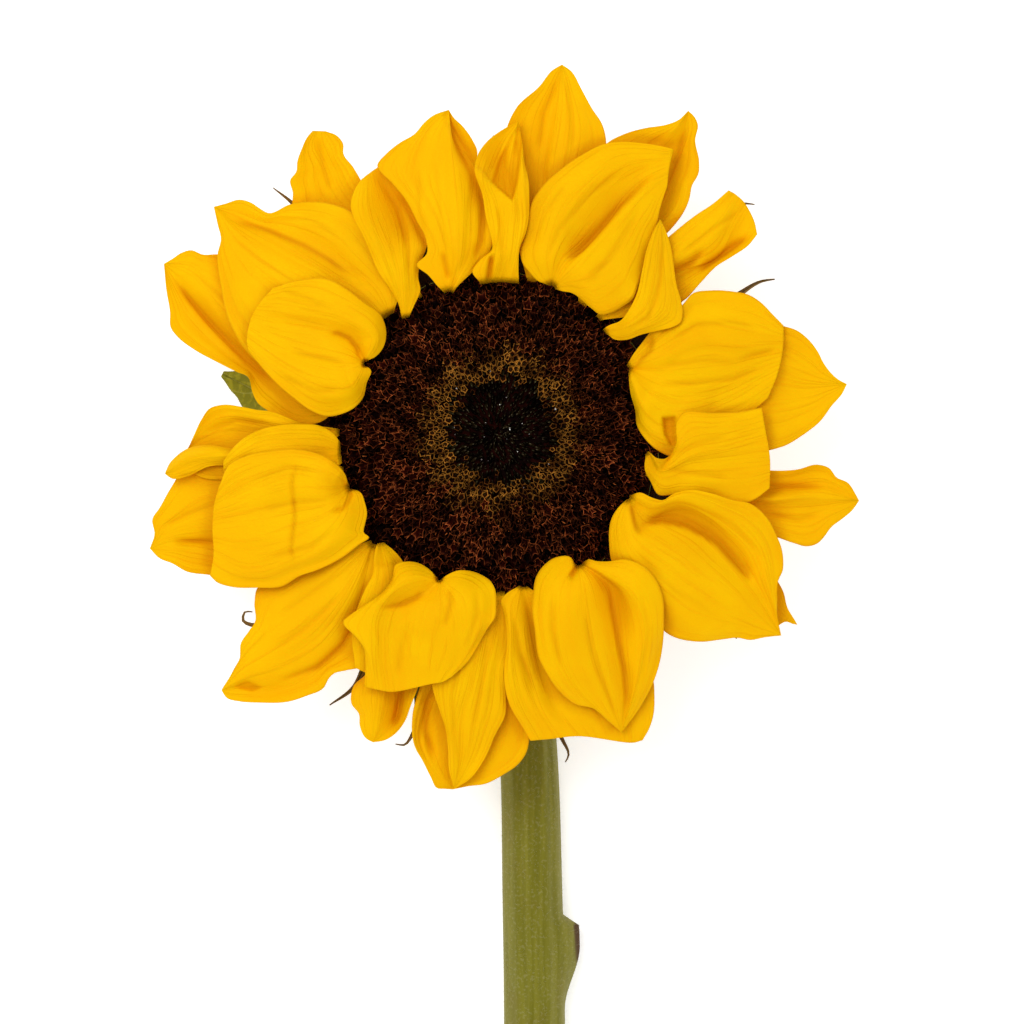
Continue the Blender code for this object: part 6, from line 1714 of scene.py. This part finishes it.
def make_hairs(path, radii, across, up, random):
    """Fine stiff hairs all over the stem, one mesh of thin three-sided spikes."""
    ring = random.integers(FIRST_HAIRY_RING, STEM_RINGS - 1, HAIRS)
    angle = random.uniform(0, 2 * math.pi, HAIRS)
    reach = np.array([stem_radius(path[r], a, radii[r]) for r, a in zip(ring, angle)])
    outward = np.cos(angle)[:, None] * across[ring] + np.sin(angle)[:, None] * up[ring]
    jitter = random.normal(0, HAIR_SPREAD, (HAIRS, 3))
    root = path[ring] + outward * (reach - HAIR_ROOT_DEPTH)[:, None]
    root[:, 1] += random.uniform(-HAIR_SHIFT, HAIR_SHIFT, HAIRS)
    lean = outward + jitter + np.array([0.0, HAIR_LEAN, 0.0])
    lean /= np.linalg.norm(lean, axis=1)[:, None]
    length = random.uniform(*HAIR_LENGTHS, HAIRS)
    tip = root + lean * length[:, None]
    keep = (tip[:, 2] > HAIR_CLEARANCES[0]) & (root[:, 2] > HAIR_CLEARANCES[1])
    root, tip, lean = root[keep], tip[keep], lean[keep]
    first = np.cross(lean, np.array([0.3, 0.2, 0.93]))
    first /= np.linalg.norm(first, axis=1)[:, None]
    second = np.cross(lean, first)
    turns = [2 * math.pi * side / 3 for side in range(3)]
    corners = [root + HAIR_RADIUS * (math.cos(t) * first + math.sin(t) * second) for t in turns]
    points = np.stack([*corners, tip], axis=1).reshape(-1, 3)
    starts = np.arange(len(root)) * 4
    faces = []
    for a, b, c in ((0, 1, 3), (1, 2, 3), (2, 0, 3), (0, 2, 1)):
        faces += np.stack([starts + a, starts + b, starts + c], axis=-1).tolist()
    dress(add_mesh("stem_hairs", points, faces), hair_material(), "stem")


# ---- stage ---------------------------------------------------------------------------------------
def make_stage():
    bpy.ops.mesh.primitive_grid_add(
        x_subdivisions=8, y_subdivisions=8, size=FLOOR_SIZE, location=(0, 0, -FLOOR_DROP)
    )
    floor = bpy.context.object
    floor.name = "floor"
    finish = Finish("floor_finish", 0.9, 0.1)
    paper = finish.noise(finish.place(), 40.0, 4.0)
    colour = finish.mix(finish.ramp(paper, 0.3, 0.7), *PAPER_TONES)
    finish.shader.inputs["Emission Color"].default_value = WHITE
    finish.shader.inputs["Emission Strength"].default_value = FLOOR_GLOW
    floor.data.materials.append(finish.finish(colour))


def add_light(name, place, target, size, power):
    lamp = bpy.data.lights.new(name, "AREA")
    lamp.shape = "DISK"
    lamp.size = size
    lamp.energy = power
    piece = bpy.data.objects.new(name, lamp)
    bpy.context.scene.collection.objects.link(piece)
    piece.location = place
    piece.rotation_mode = "QUATERNION"
    piece.rotation_quaternion = (Vector(target) - Vector(place)).to_track_quat("-Z", "Y")


def make_light():
    world = bpy.data.worlds.new("studio")
    bpy.context.scene.world = world
    world.use_nodes = True
    sky = world.node_tree.nodes["Background"]
    sky.inputs["Color"].default_value = WHITE
    sky.inputs["Strength"].default_value = SKY_STRENGTH
    head = (HEAD[0], HEAD[1], KEY_AIM_HEIGHT)
    place = (HEAD[0] + KEY_OFFSET[0], HEAD[1] + KEY_OFFSET[1], KEY_HEIGHT)
    add_light("key", place, head, KEY_SIZE, KEY_POWER)
    bpy.context.scene.view_settings.view_transform = "Standard"


def make_camera():
    camera = bpy.data.cameras.new("camera")
    camera.sensor_width = SENSOR_WIDTH
    camera.lens = camera.sensor_width * (CAMERA_HEIGHT - FRAME_PLANE) / FRAME_WIDTH
    camera.clip_start = 0.01
    piece = bpy.data.objects.new("camera", camera)
    bpy.context.scene.collection.objects.link(piece)
    piece.location = (HEAD[0] + FRAME_OFFSET[0], HEAD[1] + FRAME_OFFSET[1], CAMERA_HEIGHT)
    bpy.context.scene.camera = piece


make_stage()
make_light()
make_camera()
make_stem()
make_receptacle()
make_leaf()
pile_of_sheets = Pile()
make_bracts(pile_of_sheets)
make_petals(pile_of_sheets)
make_disc()
make_nectar_glints()
